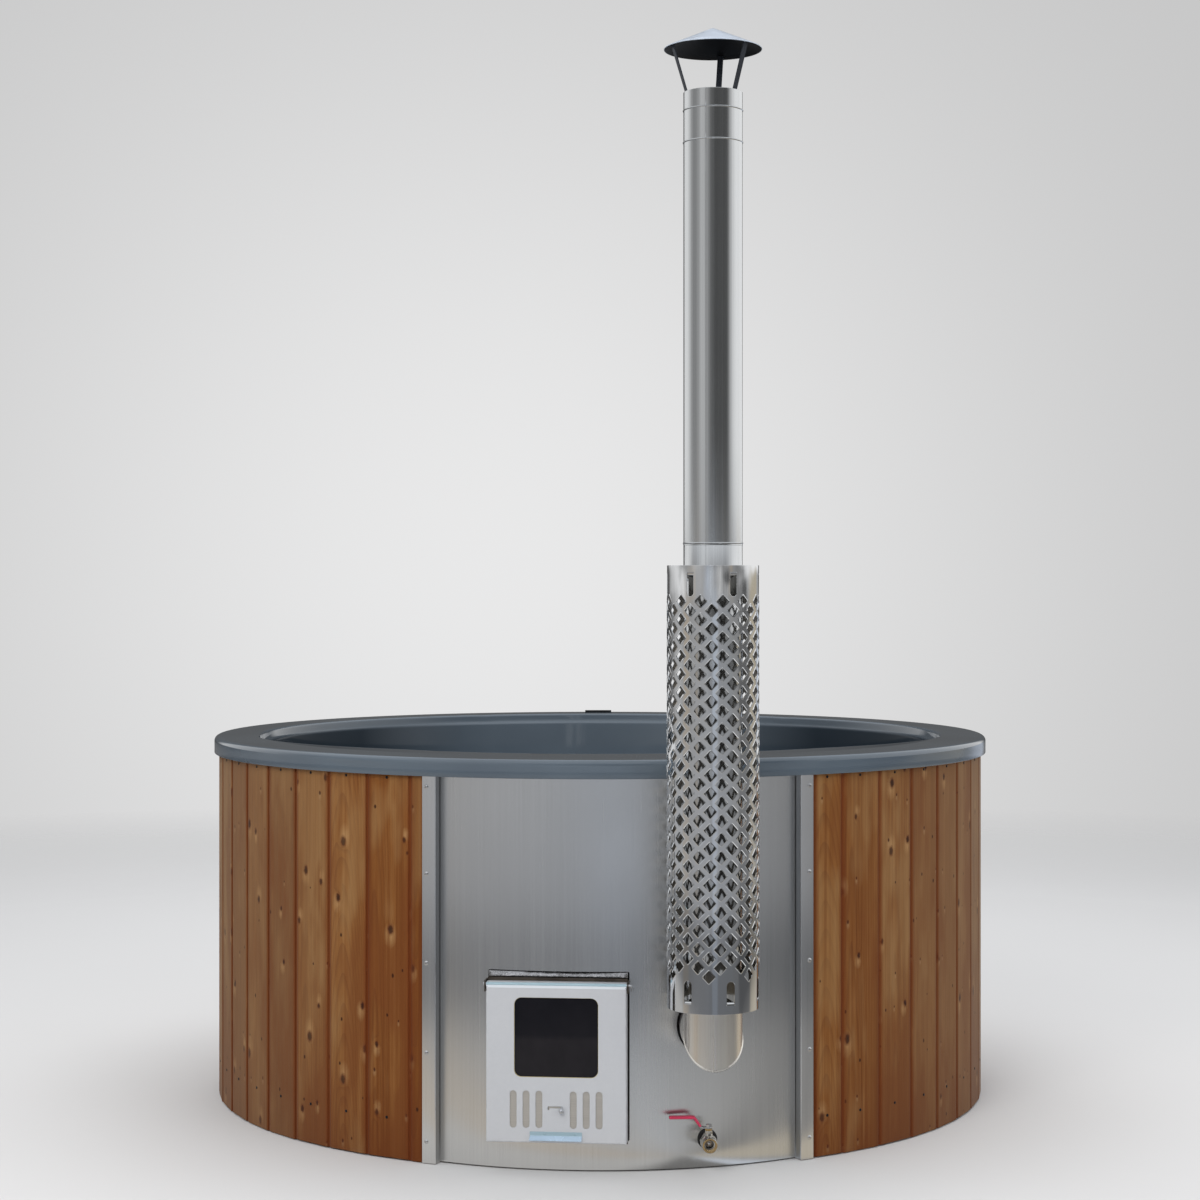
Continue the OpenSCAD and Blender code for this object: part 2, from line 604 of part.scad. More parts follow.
// lever strip: flat at the stem, ramp up, then level out to the tip; pts are [distance from stem, height]
lever_z = valve_z + 32.6;
module lever_strip(w, x0, grow) {
    translate([valve_x, valve_y + w / 2, 0]) rotate([90, 0, 0]) linear_extrude(height = w)
        polygon([[-x0, lever_z - grow], [-18 - grow * 0.4, lever_z - grow], [-34, lever_z + 23 - grow],
            [-lever_l - (grow > 0 ? 1.5 : 0), lever_z + 23 - grow], [-lever_l - (grow > 0 ? 1.5 : 0), lever_z + 26 + grow],
            [-32.5, lever_z + 26 + grow], [-16.5 + grow * 0.4, lever_z + 3 + grow], [-x0, lever_z + 3 + grow]]);
}
module valve_lever() {
    color([0.70, 0.70, 0.71]) difference() {
        union() {
            lever_strip(13, 0, 0);
            translate([valve_x, valve_y, lever_z]) cylinder(r = 9, h = 3);
        }
        translate([valve_x, valve_y, lever_z - 5]) cylinder(r = 4.02, h = 20);
    }
}
module lever_sleeve() {
    color([0.66, 0.20, 0.28]) difference() {
        lever_strip(17, 18.5, 1.6);
        lever_strip(13.1, 0, 0.05);
        box(valve_x - 18, valve_x + 30, valve_y - 30, valve_y + 30, lever_z - 10, lever_z + 40);
    }
}
module lever_nut() {
    color([0.76, 0.77, 0.78]) translate([valve_x, valve_y, lever_z + 3]) difference() {
        cylinder(r = 7.2, h = 5, $fn = 6);
        translate([0, 0, -1]) cylinder(r = 4.02, h = 10);
    }
}

// ---------- flue ----------
module smoke_stub() { color([0.60, 0.60, 0.60]) tube_y(flue_x, stub_z, flue_r - 1.1, flue_r - 2.6, -1040, fy0 + jt + 4); }
module elbow_solid(r) {
    // horizontal leg below the mitre plane, vertical leg above it
    intersection() {
        rod_y(flue_x, stub_z, r, -flue_y - 100, -1020);
        translate([flue_x, -flue_y, stub_z]) rotate([-45, 0, 0]) translate([-100, 0, -300]) cube([200, 300, 600]);
    }
    intersection() {
        translate([flue_x, -flue_y, stub_z - 100]) cylinder(r = r, h = 100 + 408 - stub_z);
        translate([flue_x, -flue_y, stub_z]) rotate([-45, 0, 0]) translate([-100, -300, -300]) cube([200, 300, 600]);
    }
}
module smoke_elbow() {
    color([0.66, 0.64, 0.61]) {
        difference() {
            elbow_solid(flue_r);
            elbow_solid(flue_r - 1);
            rod_y(flue_x, stub_z, flue_r - 1, -flue_y + 60, -1000);
            translate([flue_x, -flue_y, stub_z + 60]) cylinder(r = flue_r - 1, h = 200);
        }
        tube_z(flue_x, -flue_y, flue_r - 1.1, flue_r - 2.1, 398, 448);
        tube_z(flue_x, -flue_y, flue_r, flue_r - 2.1, 396, 400);
    }
}
module bead(z) {
    translate([flue_x, -flue_y, z]) difference() {
        rotate_extrude($fn = 72) translate([flue_r - 0.2, 0]) circle(r = 1.7, $fn = 24);
        translate([0, 0, -10]) cylinder(r = flue_r - 0.9, h = 20);
    }
}
module lower_flue() {
    color([0.62, 0.64, 0.65]) {
        tube_z(flue_x, -flue_y, flue_r, flue_r - 1, 408, 1404);
        tube_z(flue_x, -flue_y, flue_r - 1.1, flue_r - 2.1, 1398, 1452);
        tube_z(flue_x, -flue_y, flue_r - 0.5, flue_r - 2.1, 1398, 1402);
    }
}
module upper_flue() {
    color([0.62, 0.64, 0.65]) {
        tube_z(flue_x, -flue_y, flue_r, flue_r - 1, 1404.2, flue_top);
        bead(1408);
        bead(flue_top - 110);
        bead(flue_top - 40);
    }
}
// heat guard: tube held off the pipe by six bent tabs at each end
module guard_slots() {
    for (k = [-2:3]) rotate([0, 0, -35.6 + k * 55.38]) {
        box(-8, 8, -guard_r - 2, -guard_r + 4, guard_z1 - 59.5, guard_z1 - 21);
        rod_y(0, guard_z1 - 59.5, 8, -guard_r - 2, -guard_r + 4);
    }
    for (k = [-2:3]) rotate([0, 0, -39.5 + k * 55.38]) {
        box(-9.5, 9.5, -guard_r - 2, -guard_r + 4, guard_z0 + 19.8, guard_z0 + 61);
        rod_y(0, guard_z0 + 61, 9.5, -guard_r - 2, -guard_r + 4);
    }
}
module guard_tabs() {
    difference() {
        for (k = [-2:3]) rotate([0, 0, -35.6 + k * 55.38])
            box(-7, 7, -guard_r + 0.3, -flue_r + 2, guard_z1 - 22.2, guard_z1 - 21);
        for (k = [-2:3]) rotate([0, 0, -39.5 + k * 55.38])
            box(-7, 7, -guard_r + 0.3, -flue_r + 2, guard_z0 + 18.8, guard_z0 + 20);
        translate([0, 0, guard_z0 - 10]) cylinder(r = flue_r + 0.3, h = guard_z1 - guard_z0 + 20);
    }
}
module heat_guard() {
    color([0.78, 0.79, 0.80]) translate([flue_x, -flue_y, 0]) {
        difference() {
            tube_z(0, 0, guard_r, guard_r - 1, guard_z0, guard_z1);
            guard_slots();
        }
        guard_tabs();
    }
}
module cap_legs() {
    cz = flue_top + 95.5;
    t = flue_top;
    // height of the cone's underside at radius r
    function u(r) = cz - 0.8 + (cap_r - 1.2 - r) * 45.7 / (cap_r - 5.2);
    color([0.30, 0.30, 0.31]) translate([flue_x, -flue_y, 0]) for (a = [164.2, 284.2, 44.2]) rotate([0, 0, a])
        translate([-6.5, 0, 0]) rotate([90, 0, 90]) linear_extrude(height = 13) polygon([
            [-61.6, t - 50], [-63.5, t - 50], [-63.5, t + 1], [-94.5, u(94.5) - 2.1], [-103, u(103) - 2.1],
            [-103, u(103) - 0.25], [-92.5, u(92.5) - 0.25], [-61.6, t + 1.5]]);
}
module rain_cap() {
    cz = flue_top + 95.5;
    color([0.24, 0.26, 0.28]) translate([flue_x, -flue_y, 0]) rotate_extrude($fn = 96)
        polygon([[0, cz + 47], [4, cz + 46.2], [cap_r, cz + 0.8], [cap_r, cz - 0.8], [cap_r - 1.2, cz - 0.8], [4, cz + 44.9], [0, cz + 45.6]]);
}

base_joists();
floor_boards();
heater_bearers();
lower_ring();
upper_ring();
studs();
bench_posts();
front_posts();
liner();
cladding_front_left();
cladding_rear_left();
cladding_rear_right();
cladding_front_right();
cladding_nails();
front_panel();
left_trim();
right_trim();
trim_screws();
water_jacket();
firebox();
baffle_plate();
fire_grate();
heater_mat();
door_frame();
collar_insulation();
hinge_rod();
door_shell();
door_glass();
glass_gasket();
glass_clips();
clip_screws();
door_seal();
door_handle();
damper_guides();
damper_plate();
damper_knob();
water_hoses();
hose_clamps();
wall_fittings();
fitting_nuts();
water_grilles();
drain_flange();
drain_elbow();
drain_pipe();
panel_grommet();
valve_body();
gland_nut();
valve_ball();
valve_stem();
valve_lever();
lever_sleeve();
lever_nut();
smoke_stub();
smoke_elbow();
lower_flue();
upper_flue();
heat_guard();
cap_legs();
rain_cap();
rim_clip();
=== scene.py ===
# Looks of the round wood-clad hot tub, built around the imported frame. Metres, +Z up, the steel front panel towards -Y.
import bpy
import bmesh
import math
import random
import numpy as np
from mathutils import Matrix, Vector, noise
from mathutils.geometry import delaunay_2d_cdt


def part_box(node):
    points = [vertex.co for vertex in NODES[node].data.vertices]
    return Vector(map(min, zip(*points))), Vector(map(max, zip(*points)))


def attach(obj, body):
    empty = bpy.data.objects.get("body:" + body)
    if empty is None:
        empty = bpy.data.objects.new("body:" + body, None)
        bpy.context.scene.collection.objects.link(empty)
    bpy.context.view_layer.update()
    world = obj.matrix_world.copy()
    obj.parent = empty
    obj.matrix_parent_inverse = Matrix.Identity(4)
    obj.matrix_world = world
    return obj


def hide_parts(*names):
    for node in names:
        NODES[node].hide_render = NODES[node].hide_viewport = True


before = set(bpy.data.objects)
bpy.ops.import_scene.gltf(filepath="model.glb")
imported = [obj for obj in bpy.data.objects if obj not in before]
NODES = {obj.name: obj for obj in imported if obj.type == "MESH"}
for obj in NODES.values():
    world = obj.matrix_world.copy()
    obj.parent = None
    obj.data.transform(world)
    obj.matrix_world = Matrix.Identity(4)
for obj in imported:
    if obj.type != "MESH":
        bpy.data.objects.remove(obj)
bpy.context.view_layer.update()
scene = bpy.context.scene
rng = random.Random(11)
rad = math.radians
TAU = 2 * math.pi
scene.view_settings.view_transform = "Standard"
scene.view_settings.look = "None"
scene.view_settings.exposure = 0.0


# ------------------------------------------------------------------ small helpers
def lin(r, g, b):
    """8-bit display colour to the linear values that shaders take."""
    out = []
    for c in (r, g, b):
        c = c / 255
        out.append(c / 12.92 if c <= 0.04045 else ((c + 0.055) / 1.055) ** 2.4)
    return (*out, 1.0)


def polar(phi, r, z):
    """A point at the angle phi from the front centre towards +X."""
    a = rad(phi)
    return Vector((r * math.sin(a), -r * math.cos(a), z))


def smoothstep(a, b, x):
    t = min(1.0, max(0.0, (x - a) / (b - a)))
    return t * t * (3 - 2 * t)


def add(name, verts, faces, mats, body="tub", replaces=(), smooth=True, angle=32, mat_index=None):
    me = bpy.data.meshes.new(name)
    me.from_pydata([tuple(v) for v in verts], [], [tuple(f) for f in faces])
    me.validate()
    mats = mats if isinstance(mats, (list, tuple)) else [mats]
    for m in mats:
        me.materials.append(m)
    if mat_index is not None:
        me.polygons.foreach_set("material_index", mat_index)
    ob = bpy.data.objects.new(name, me)
    scene.collection.objects.link(ob)
    shade(me, smooth, angle)
    own(ob, body, replaces)
    return ob


def shade(me, smooth=True, angle=32):
    me.polygons.foreach_set("use_smooth", [smooth] * len(me.polygons))
    if smooth:
        me.set_sharp_from_angle(angle=rad(angle))
    me.update()


def own(ob, body, replaces):
    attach(ob, body)
    if replaces:
        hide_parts(*replaces)


def baked(ob, angle=32):
    """Applies the object's modifiers to its mesh."""
    dg = bpy.context.evaluated_depsgraph_get()
    me = bpy.data.meshes.new_from_object(ob.evaluated_get(dg))
    ob.modifiers.clear()
    ob.data = me
    shade(me, True, angle)
    return ob


def lathe(profile, n=96, centre=(0, 0), closed=False, a0=0.0, a1=360.0):
    """Turns (r, z) points about a vertical axis. Points with r 0 become poles. Returns vertices and faces."""
    full = abs(a1 - a0 - 360) < 1e-6
    cols = n if full else n + 1
    verts, rings = [], []
    for r, z in profile:
        if r < 1e-9:
            rings.append([len(verts)])
            verts.append((centre[0], centre[1], z))
        else:
            ring = []
            for i in range(cols):
                p = polar(a0 + (a1 - a0) * i / n, r, z)
                ring.append(len(verts))
                verts.append((centre[0] + p.x, centre[1] + p.y, z))
            rings.append(ring)
    faces = []
    pairs = list(zip(rings, rings[1:])) + ([(rings[-1], rings[0])] if closed else [])
    for lo, hi in pairs:
        for i in range(n):
            j = (i + 1) % cols if full else i + 1
            if len(lo) == 1 and len(hi) == 1:
                continue
            if len(lo) == 1:
                faces.append((lo[0], hi[j], hi[i]))
            elif len(hi) == 1:
                faces.append((lo[i], lo[j], hi[0]))
            else:
                faces.append((lo[i], lo[j], hi[j], hi[i]))
    return verts, faces


def arc(cx, cz, r, a0, a1, n):
    """Points on a circle, angles in degrees from +r towards +z."""
    return [(cx + r * math.cos(rad(a0 + (a1 - a0) * i / n)), cz + r * math.sin(rad(a0 + (a1 - a0) * i / n))) for i in range(n + 1)]


def prism(loop, y0, y1, place):
    """A prism over an (x, z) loop from y0 to y1, as verts and faces; place maps a point to the row frame."""
    n = len(loop)
    v = [place(x, y0, z) for x, z in loop] + [place(x, y1, z) for x, z in loop]
    f = [tuple(range(n)), tuple(range(2 * n - 1, n - 1, -1))]
    for i in range(n):
        j = (i + 1) % n
        f.append((i, i + n, j + n, j))
    return v, f


def outward(ob):
    bm = bmesh.new()
    bm.from_mesh(ob.data)
    bmesh.ops.recalc_face_normals(bm, faces=bm.faces)
    bm.to_mesh(ob.data)
    bm.free()
    return ob


def rounded_rect(w, h, r, cx=0.0, cz=0.0, n=7):
    pts = []
    for sx, sz, a in ((1, 1, 0), (-1, 1, 90), (-1, -1, 180), (1, -1, 270)):
        for i in range(n + 1):
            t = rad(a + 90 * i / n)
            pts.append((cx + sx * (w / 2 - r) + r * math.cos(t), cz + sz * (h / 2 - r) + r * math.sin(t)))
    return pts


def cut(ob, cutters):
    """Boolean difference of ob with helper meshes, which are removed again."""
    tools = []
    for k, (v, f) in enumerate(cutters):
        me = bpy.data.meshes.new("tool")
        me.from_pydata([tuple(p) for p in v], [], f)
        t = bpy.data.objects.new("tool", me)
        scene.collection.objects.link(t)
        outward(t)
        m = ob.modifiers.new("cut%d" % k, "BOOLEAN")
        m.operation = "DIFFERENCE"
        m.solver = "EXACT"
        m.object = t
        tools.append(t)
    bpy.context.view_layer.update()
    baked(ob)
    for t in tools:
        me = t.data
        bpy.data.objects.remove(t)
        bpy.data.meshes.remove(me)
    return ob


def bevelled(ob, width, segments=2, angle=40):
    m = ob.modifiers.new("bevel", "BEVEL")
    m.width = width
    m.segments = segments
    m.limit_method = "ANGLE"
    m.angle_limit = rad(angle)
    m.harden_normals = False
    bpy.context.view_layer.update()
    return baked(ob)


# ------------------------------------------------------------------ node tree helpers
class Tree:
    def __init__(self, name):
        self.mat = bpy.data.materials.new(name)
        self.mat.use_nodes = True
        self.t = self.mat.node_tree
        self.bsdf = self.t.nodes["Principled BSDF"]

    def node(self, kind, **inputs):
        n = self.t.nodes.new(kind)
        for k, v in inputs.items():
            self.put(n, k, v)
        return n

    def put(self, n, k, v):
        s = n.inputs[int(k[1:])] if k[0] == "_" else n.inputs[k.replace("_", " ")]
        if isinstance(v, bpy.types.NodeSocket):
            self.t.links.new(v, s)
        else:
            s.default_value = v

    def math(self, op, a, b=0.0, c=None, clamp=False):
        n = self.t.nodes.new("ShaderNodeMath")
        n.operation = op
        n.use_clamp = clamp
        self.put(n, "_0", a)
        self.put(n, "_1", b)
        if c is not None:
            self.put(n, "_2", c)
        return n.outputs[0]

    def vmath(self, op, a, b=None, scale=None):
        n = self.t.nodes.new("ShaderNodeVectorMath")
        n.operation = op
        self.put(n, "_0", a)
        if b is not None:
            self.put(n, "_1", b)
        if scale is not None:
            self.put(n, "Scale", scale)
        return n.outputs["Value"] if op in ("LENGTH", "DISTANCE", "DOT_PRODUCT") else n.outputs["Vector"]

    def mix(self, f, a, b, kind="RGBA", blend="MIX"):
        n = self.t.nodes.new("ShaderNodeMix")
        n.data_type = kind
        if kind == "RGBA":
            n.blend_type = blend
            i = (0, 6, 7)
            o = 2
        else:
            i = (0, 2, 3)
            o = 0
        for k, v in zip(i, (f, a, b)):
            if isinstance(v, bpy.types.NodeSocket):
                self.t.links.new(v, n.inputs[k])
            else:
                n.inputs[k].default_value = v
        return n.outputs[o]

    def ramp(self, f, stops, interp="LINEAR"):
        n = self.t.nodes.new("ShaderNodeValToRGB")
        n.color_ramp.interpolation = interp
        el = n.color_ramp.elements
        while len(el) < len(stops):
            el.new(0.5)
        for e, (p, c) in zip(el, stops):
            e.position = p
            e.color = c if len(c) == 4 else (*c, 1)
        self.put(n, "_0", f)
        return n.outputs[0]

    def span(self, v, a, b, c=0.0, d=1.0):
        n = self.t.nodes.new("ShaderNodeMapRange")
        self.put(n, "_0", v)
        for k, x in zip(("_1", "_2", "_3", "_4"), (a, b, c, d)):
            self.put(n, k, x)
        return n.outputs[0]

    def coord(self, scale=(1, 1, 1), loc=(0, 0, 0)):
        tc = self.t.nodes.new("ShaderNodeTexCoord")
        m = self.t.nodes.new("ShaderNodeMapping")
        m.inputs["Scale"].default_value = scale
        m.inputs["Location"].default_value = loc
        self.t.links.new(tc.outputs["Object"], m.inputs["Vector"])
        return m.outputs[0]

    def noise(self, vec, scale, detail=2.0, rough=0.5, out="Fac", distort=0.0):
        n = self.node("ShaderNodeTexNoise", Vector=vec, Scale=scale, Detail=detail, Roughness=rough, Distortion=distort)
        return n.outputs[out]

    def bump(self, h, strength, dist, normal=None):
        n = self.node("ShaderNodeBump", Strength=strength, Distance=dist, Height=h)
        if normal is not None:
            self.put(n, "Normal", normal)
        return n.outputs[0]

    def attr(self, name):
        n = self.t.nodes.new("ShaderNodeAttribute")
        n.attribute_name = name
        return n

    def set(self, **kw):
        for k, v in kw.items():
            self.put(self.bsdf, k, v)
        return self.mat


# ------------------------------------------------------------------ materials
def brushed(name, base, rough, streak=(260, 260, 2.2), amount=0.10, tone=0.10, aniso=0.0, bump=0.10, patch=0.10, metallic=1.0):
    """Steel with fine drawn lines along the stretched axis, and a slow patchy change of sheen."""
    t = Tree(name)
    fine = t.noise(t.coord(streak), 1.0, 3.0, 0.6)
    wide = t.noise(t.coord(tuple(s * 0.13 for s in streak)), 1.0, 2.0, 0.5)
    slow = t.noise(t.coord((3.1, 3.1, 2.3)), 1.0, 3.0, 0.55)
    lines = t.math("ADD", t.math("MULTIPLY", fine, 0.65), t.math("MULTIPLY", wide, 0.35))
    dark = tuple(c * (1 - tone) for c in base[:3]) + (1,)
    lite = tuple(min(1, c * (1 + tone)) for c in base[:3]) + (1,)
    col = t.mix(t.span(lines, 0.3, 0.7), dark, lite)
    col = t.mix(t.span(slow, 0.35, 0.7, 0.0, patch), col, tuple(c * 0.72 for c in base[:3]) + (1,))
    r = t.math("ADD", t.span(lines, 0.25, 0.75, rough - amount / 2, rough + amount / 2), t.span(slow, 0.3, 0.7, -0.03, 0.03))
    t.set(Base_Color=col, Roughness=r, Metallic=metallic, Normal=t.bump(lines, bump, 0.0006))
    if aniso:
        tangent = t.t.nodes.new("ShaderNodeTangent")
        tangent.direction_type = "RADIAL"
        tangent.axis = "Z"
        t.set(Anisotropic=aniso, Tangent=tangent.outputs[0])
    return t.mat


def polished(name, base, rough, wob=0.25, streak=(90, 90, 1.2), dist=0.0012, tone=0.06):
    """Bright rolled steel: long soft waves across the sheet and faint vertical lines."""
    t = Tree(name)
    wave = t.noise(t.coord(streak), 1.0, 2.0, 0.5)
    slow = t.noise(t.coord((9, 9, 5)), 1.0, 2.0, 0.5)
    fine = t.noise(t.coord((520, 520, 8)), 1.0, 2.0, 0.6)
    dark = tuple(c * (1 - tone) for c in base[:3]) + (1,)
    col = t.mix(t.span(wave, 0.3, 0.7), dark, base)
    smudge = t.span(slow, 0.45, 0.75, 0.0, 0.09)
    r = t.math("ADD", smudge, t.span(fine, 0.3, 0.7, rough * 0.7, rough * 1.3))
    h = t.math("ADD", t.math("MULTIPLY", wave, 0.8), t.math("MULTIPLY", slow, 0.7))
    t.set(Base_Color=col, Roughness=r, Metallic=1.0, Normal=t.bump(h, wob, dist))
    return t.mat


def satin(name, base, rough, metallic=0.0, grain=220.0, tone=0.08, bump=0.08, coat=0.0, dist=0.0004, spec=0.5):
    """Moulded plastic, paint, rubber and the like: fine grain, slight mottling and wear in the sheen."""
    t = Tree(name)
    g = t.noise(t.coord((grain, grain, grain)), 1.0, 3.0, 0.6)
    s = t.noise(t.coord((17, 17, 13)), 1.0, 4.0, 0.6)
    dark = tuple(c * (1 - tone) for c in base[:3]) + (1,)
    lite = tuple(min(1, c * (1 + tone)) for c in base[:3]) + (1,)
    col = t.mix(t.span(s, 0.3, 0.7), dark, lite)
    r = t.span(s, 0.3, 0.7, max(0.03, rough - 0.05), rough + 0.06)
    t.set(Base_Color=col, Roughness=r, Metallic=metallic, Coat_Weight=coat, Normal=t.bump(g, bump, dist), Specular_IOR_Level=spec)
    return t.mat


def plain_wood(name, pale, dark, scale=1.0):
    """Sawn timber for the frame inside: growth lines along the longest run, small specks."""
    t = Tree(name)
    v = t.coord((36 * scale, 36 * scale, 3 * scale))
    n1 = t.noise(v, 1.0, 3.0, 0.6, distort=0.6)
    n2 = t.noise(t.coord((300, 300, 20)), 1.0, 2.0, 0.6)
    n3 = t.noise(t.coord((7, 7, 2)), 1.0, 3.0, 0.5)
    f = t.math("ADD", t.math("MULTIPLY", n1, 0.7), t.math("MULTIPLY", n2, 0.3))
    col = t.ramp(f, [(0.30, dark), (0.48, tuple((a + b) / 2 for a, b in zip(pale, dark))), (0.62, pale), (0.78, tuple(min(1, c * 1.12) for c in pale))])
    col = t.mix(t.span(n3, 0.35, 0.7, 0.0, 0.35), col, tuple(c * 0.7 for c in pale[:3]) + (1,))
    t.set(Base_Color=col, Roughness=t.span(n2, 0.2, 0.8, 0.55, 0.75), Normal=t.bump(f, 0.35, 0.0008))
    return t.mat


def cladding_wood(name, deep=1.0):
    """Oiled knotty softwood. The boards carry their own coordinates: along the face, into the board, along the length."""
    t = Tree(name)
    g = t.attr("grain").outputs["Vector"]
    bd = t.attr("board").outputs["Vector"]
    sep = t.node("ShaderNodeSeparateXYZ", Vector=g)
    rnd = t.node("ShaderNodeSeparateXYZ", Vector=bd)
    u, z = sep.outputs[0], sep.outputs[2]
    r1, r2, r3 = rnd.outputs[0], rnd.outputs[1], rnd.outputs[2]
    flat = t.node("ShaderNodeCombineXYZ", X=u, Y=z, Z=0.0).outputs[0]

    # knots: one feature per cell, real distance from it in metres, only some cells have one
    def knots(cw, ch, share, r_lo, r_hi, seed, ragged):
        cell = t.vmath("DIVIDE", t.vmath("ADD", flat, (seed, seed * 1.7, 0)), (cw, ch, 1))
        v = t.node("ShaderNodeTexVoronoi", Vector=cell, Scale=1.0, Randomness=0.85)
        v.voronoi_dimensions = "2D"
        d = t.vmath("MULTIPLY", t.vmath("SUBTRACT", cell, v.outputs["Position"]), (cw, ch, 0))
        wob = t.vmath("SCALE", t.vmath("SUBTRACT", t.noise(flat, 160.0, 2.0, 0.6, out="Color"), (0.5, 0.5, 0.5)), scale=ragged)
        d = t.vmath("MULTIPLY", t.vmath("ADD", d, wob), (1.0, 0.66, 0))
        c = t.node("ShaderNodeSeparateXYZ", Vector=v.outputs["Color"])
        radius = t.span(c.outputs[0], 0.0, 1.0, r_lo, r_hi)
        on = t.math("GREATER_THAN", share, c.outputs[1])
        return d, t.vmath("LENGTH", d), radius, on, c.outputs[2]

    d1, dist, radius, on, tint = knots(0.080, 0.190, 0.66, 0.0032, 0.0078, 3.0, 0.006)
    d2, dist2, radius2, on2, tint2 = knots(0.045, 0.100, 0.42, 0.0016, 0.0034, 9.0, 0.002)
    rel = t.math("DIVIDE", dist, radius)
    rel2 = t.math("DIVIDE", dist2, radius2)

    # growth rings: the board is a slice of a leaning log, so lines run with the length and open into arches
    warp = t.noise(t.node("ShaderNodeCombineXYZ", X=t.math("MULTIPLY", u, 9.0), Y=t.math("MULTIPLY", z, 1.6), Z=r1).outputs[0], 1.0, 2.0, 0.5)
    cu = t.span(r1, 0, 1, -0.045, 0.045)
    tilt = t.span(r3, 0, 1, -0.075, 0.075)
    deep_in = t.span(r2, 0, 1, 0.015, 0.05)
    zz = t.math("SUBTRACT", z, t.math("FLOOR", z))
    x1 = t.math("ADD", t.math("SUBTRACT", t.math("SUBTRACT", u, t.math("MULTIPLY", t.math("FLOOR", t.math("ADD", t.math("MULTIPLY", u, 2.0), 0.5)), 0.5)), cu), t.math("MULTIPLY", t.math("SUBTRACT", warp, 0.5), 0.030))
    y1 = t.math("ADD", deep_in, t.math("MULTIPLY", zz, tilt))
    push = t.math("MULTIPLY", t.math("MULTIPLY", on, 0.0065), t.math("EXPONENT", t.math("MULTIPLY", t.math("POWER", t.math("DIVIDE", dist, t.math("MULTIPLY", radius, 2.4)), 2.0), -1.0)))
    ring_r = t.math("ADD", t.math("SQRT", t.math("ADD", t.math("MULTIPLY", x1, x1), t.math("MULTIPLY", y1, y1))), push)
    ring = t.math("FRACT", t.math("MULTIPLY", ring_r, 235.0))
    late = t.span(ring, 0.50, 0.97, 0.0, 1.0)
    late = t.math("MULTIPLY", late, t.span(ring, 0.97, 1.0, 1.0, 0.0))

    def field(fx, fz, seed, detail=2.0, rough=0.5):
        return t.noise(t.node("ShaderNodeCombineXYZ", X=t.math("MULTIPLY", u, fx), Y=t.math("MULTIPLY", z, fz), Z=seed).outputs[0], 1.0, detail, rough)

    fibre = field(900.0, 13.0, 0.0, 2.0, 0.65)
    streak = field(150.0, 1.1, r2, 3.0, 0.6)
    band = field(42.0, 0.9, r3, 2.0, 0.5)
    zone = field(9.0, 2.3, r1, 3.0, 0.6)
    blotch = field(20.0, 4.2, r3, 3.0, 0.55)

    # stain: each board has its own depth, long streaks run down it
    depth = t.math("ADD", t.math("ADD", t.math("MULTIPLY", r3, 0.22), t.math("MULTIPLY", streak, 0.58)), t.math("MULTIPLY", band, 0.30))
    body = t.ramp(depth, [(0.30, lin(88, 44, 14)), (0.44, lin(103, 57, 20)), (0.55, lin(114, 67, 27)), (0.66, lin(127, 81, 38)), (0.80, lin(142, 98, 54))])
    body = t.mix(t.math("MULTIPLY", late, 0.34), body, lin(84, 43, 20))
    body = t.mix(t.span(fibre, 0.35, 0.75, 0.0, 0.32), body, lin(80, 44, 22))
    # weathered pale stretches, mostly high on a board, and stretches where the stain stayed red
    low = t.node("ShaderNodeSeparateXYZ", Vector=t.coord()).outputs[2]
    height = t.span(low, 0.15, 0.85, -0.05, 0.05)
    pale = t.span(t.math("ADD", t.math("ADD", zone, height), t.math("MULTIPLY", r1, 0.10)), 0.56, 0.68, 0.0, 0.60)
    pale = t.math("MULTIPLY", pale, t.span(band, 0.38, 0.62, 0.45, 1.0))
    body = t.mix(pale, body, lin(144, 110, 70))
    # painted sheen: the boards away from the front, seen at a slant, are painted paler and greyer
    slant_sheen_y = t.node("ShaderNodeSeparateXYZ", Vector=t.coord()).outputs[1]
    body = t.mix(t.span(slant_sheen_y, -0.82, -0.62, 0.0, 0.42), body, lin(132, 101, 68))
    red = t.span(t.math("ADD", zone, height), 0.40, 0.50, 0.50, 0.0)
    body = t.mix(t.math("MULTIPLY", red, t.span(streak, 0.35, 0.6, 0.5, 1.0)), body, lin(100, 50, 18))
    # pale sapwood on one side of a knot
    side = t.math("SUBTRACT", t.math("MULTIPLY", t.math("GREATER_THAN", tint, 0.35), 2.0), 1.0)
    shift = t.node("ShaderNodeCombineXYZ", X=t.span(tint, 0, 1, -0.005, 0.006), Y=t.math("MULTIPLY", side, 0.0085), Z=0.0).outputs[0]
    wide = t.vmath("LENGTH", t.vmath("MULTIPLY", t.vmath("ADD", d1, shift), (0.85, 0.80, 0)))
    halo = t.math("MULTIPLY", on, t.span(t.math("DIVIDE", wide, radius), 0.5, 2.5, 1.0, 0.0))
    halo = t.math("MULTIPLY", halo, t.span(streak, 0.35, 0.62, 0.35, 1.0))
    body = t.mix(t.math("MULTIPLY", halo, 0.70), body, lin(160, 124, 82))
    small = t.vmath("LENGTH", t.vmath("MULTIPLY", t.vmath("ADD", d2, (0.0, 0.0045, 0.0)), (1.0, 0.8, 0)))
    body = t.mix(t.math("MULTIPLY", t.math("MULTIPLY", on2, t.math("GREATER_THAN", tint2, 0.45)), t.span(t.math("DIVIDE", small, radius2), 0.4, 2.0, 0.40, 0.0)), body, lin(156, 124, 88))
    edge = t.math("MULTIPLY", on, t.math("MULTIPLY", t.span(rel, 0.70, 1.0, 0.0, 1.0), t.span(rel, 1.0, 1.7, 1.0, 0.0)))
    body = t.mix(t.math("MULTIPLY", edge, 0.62), body, lin(84, 38, 17))
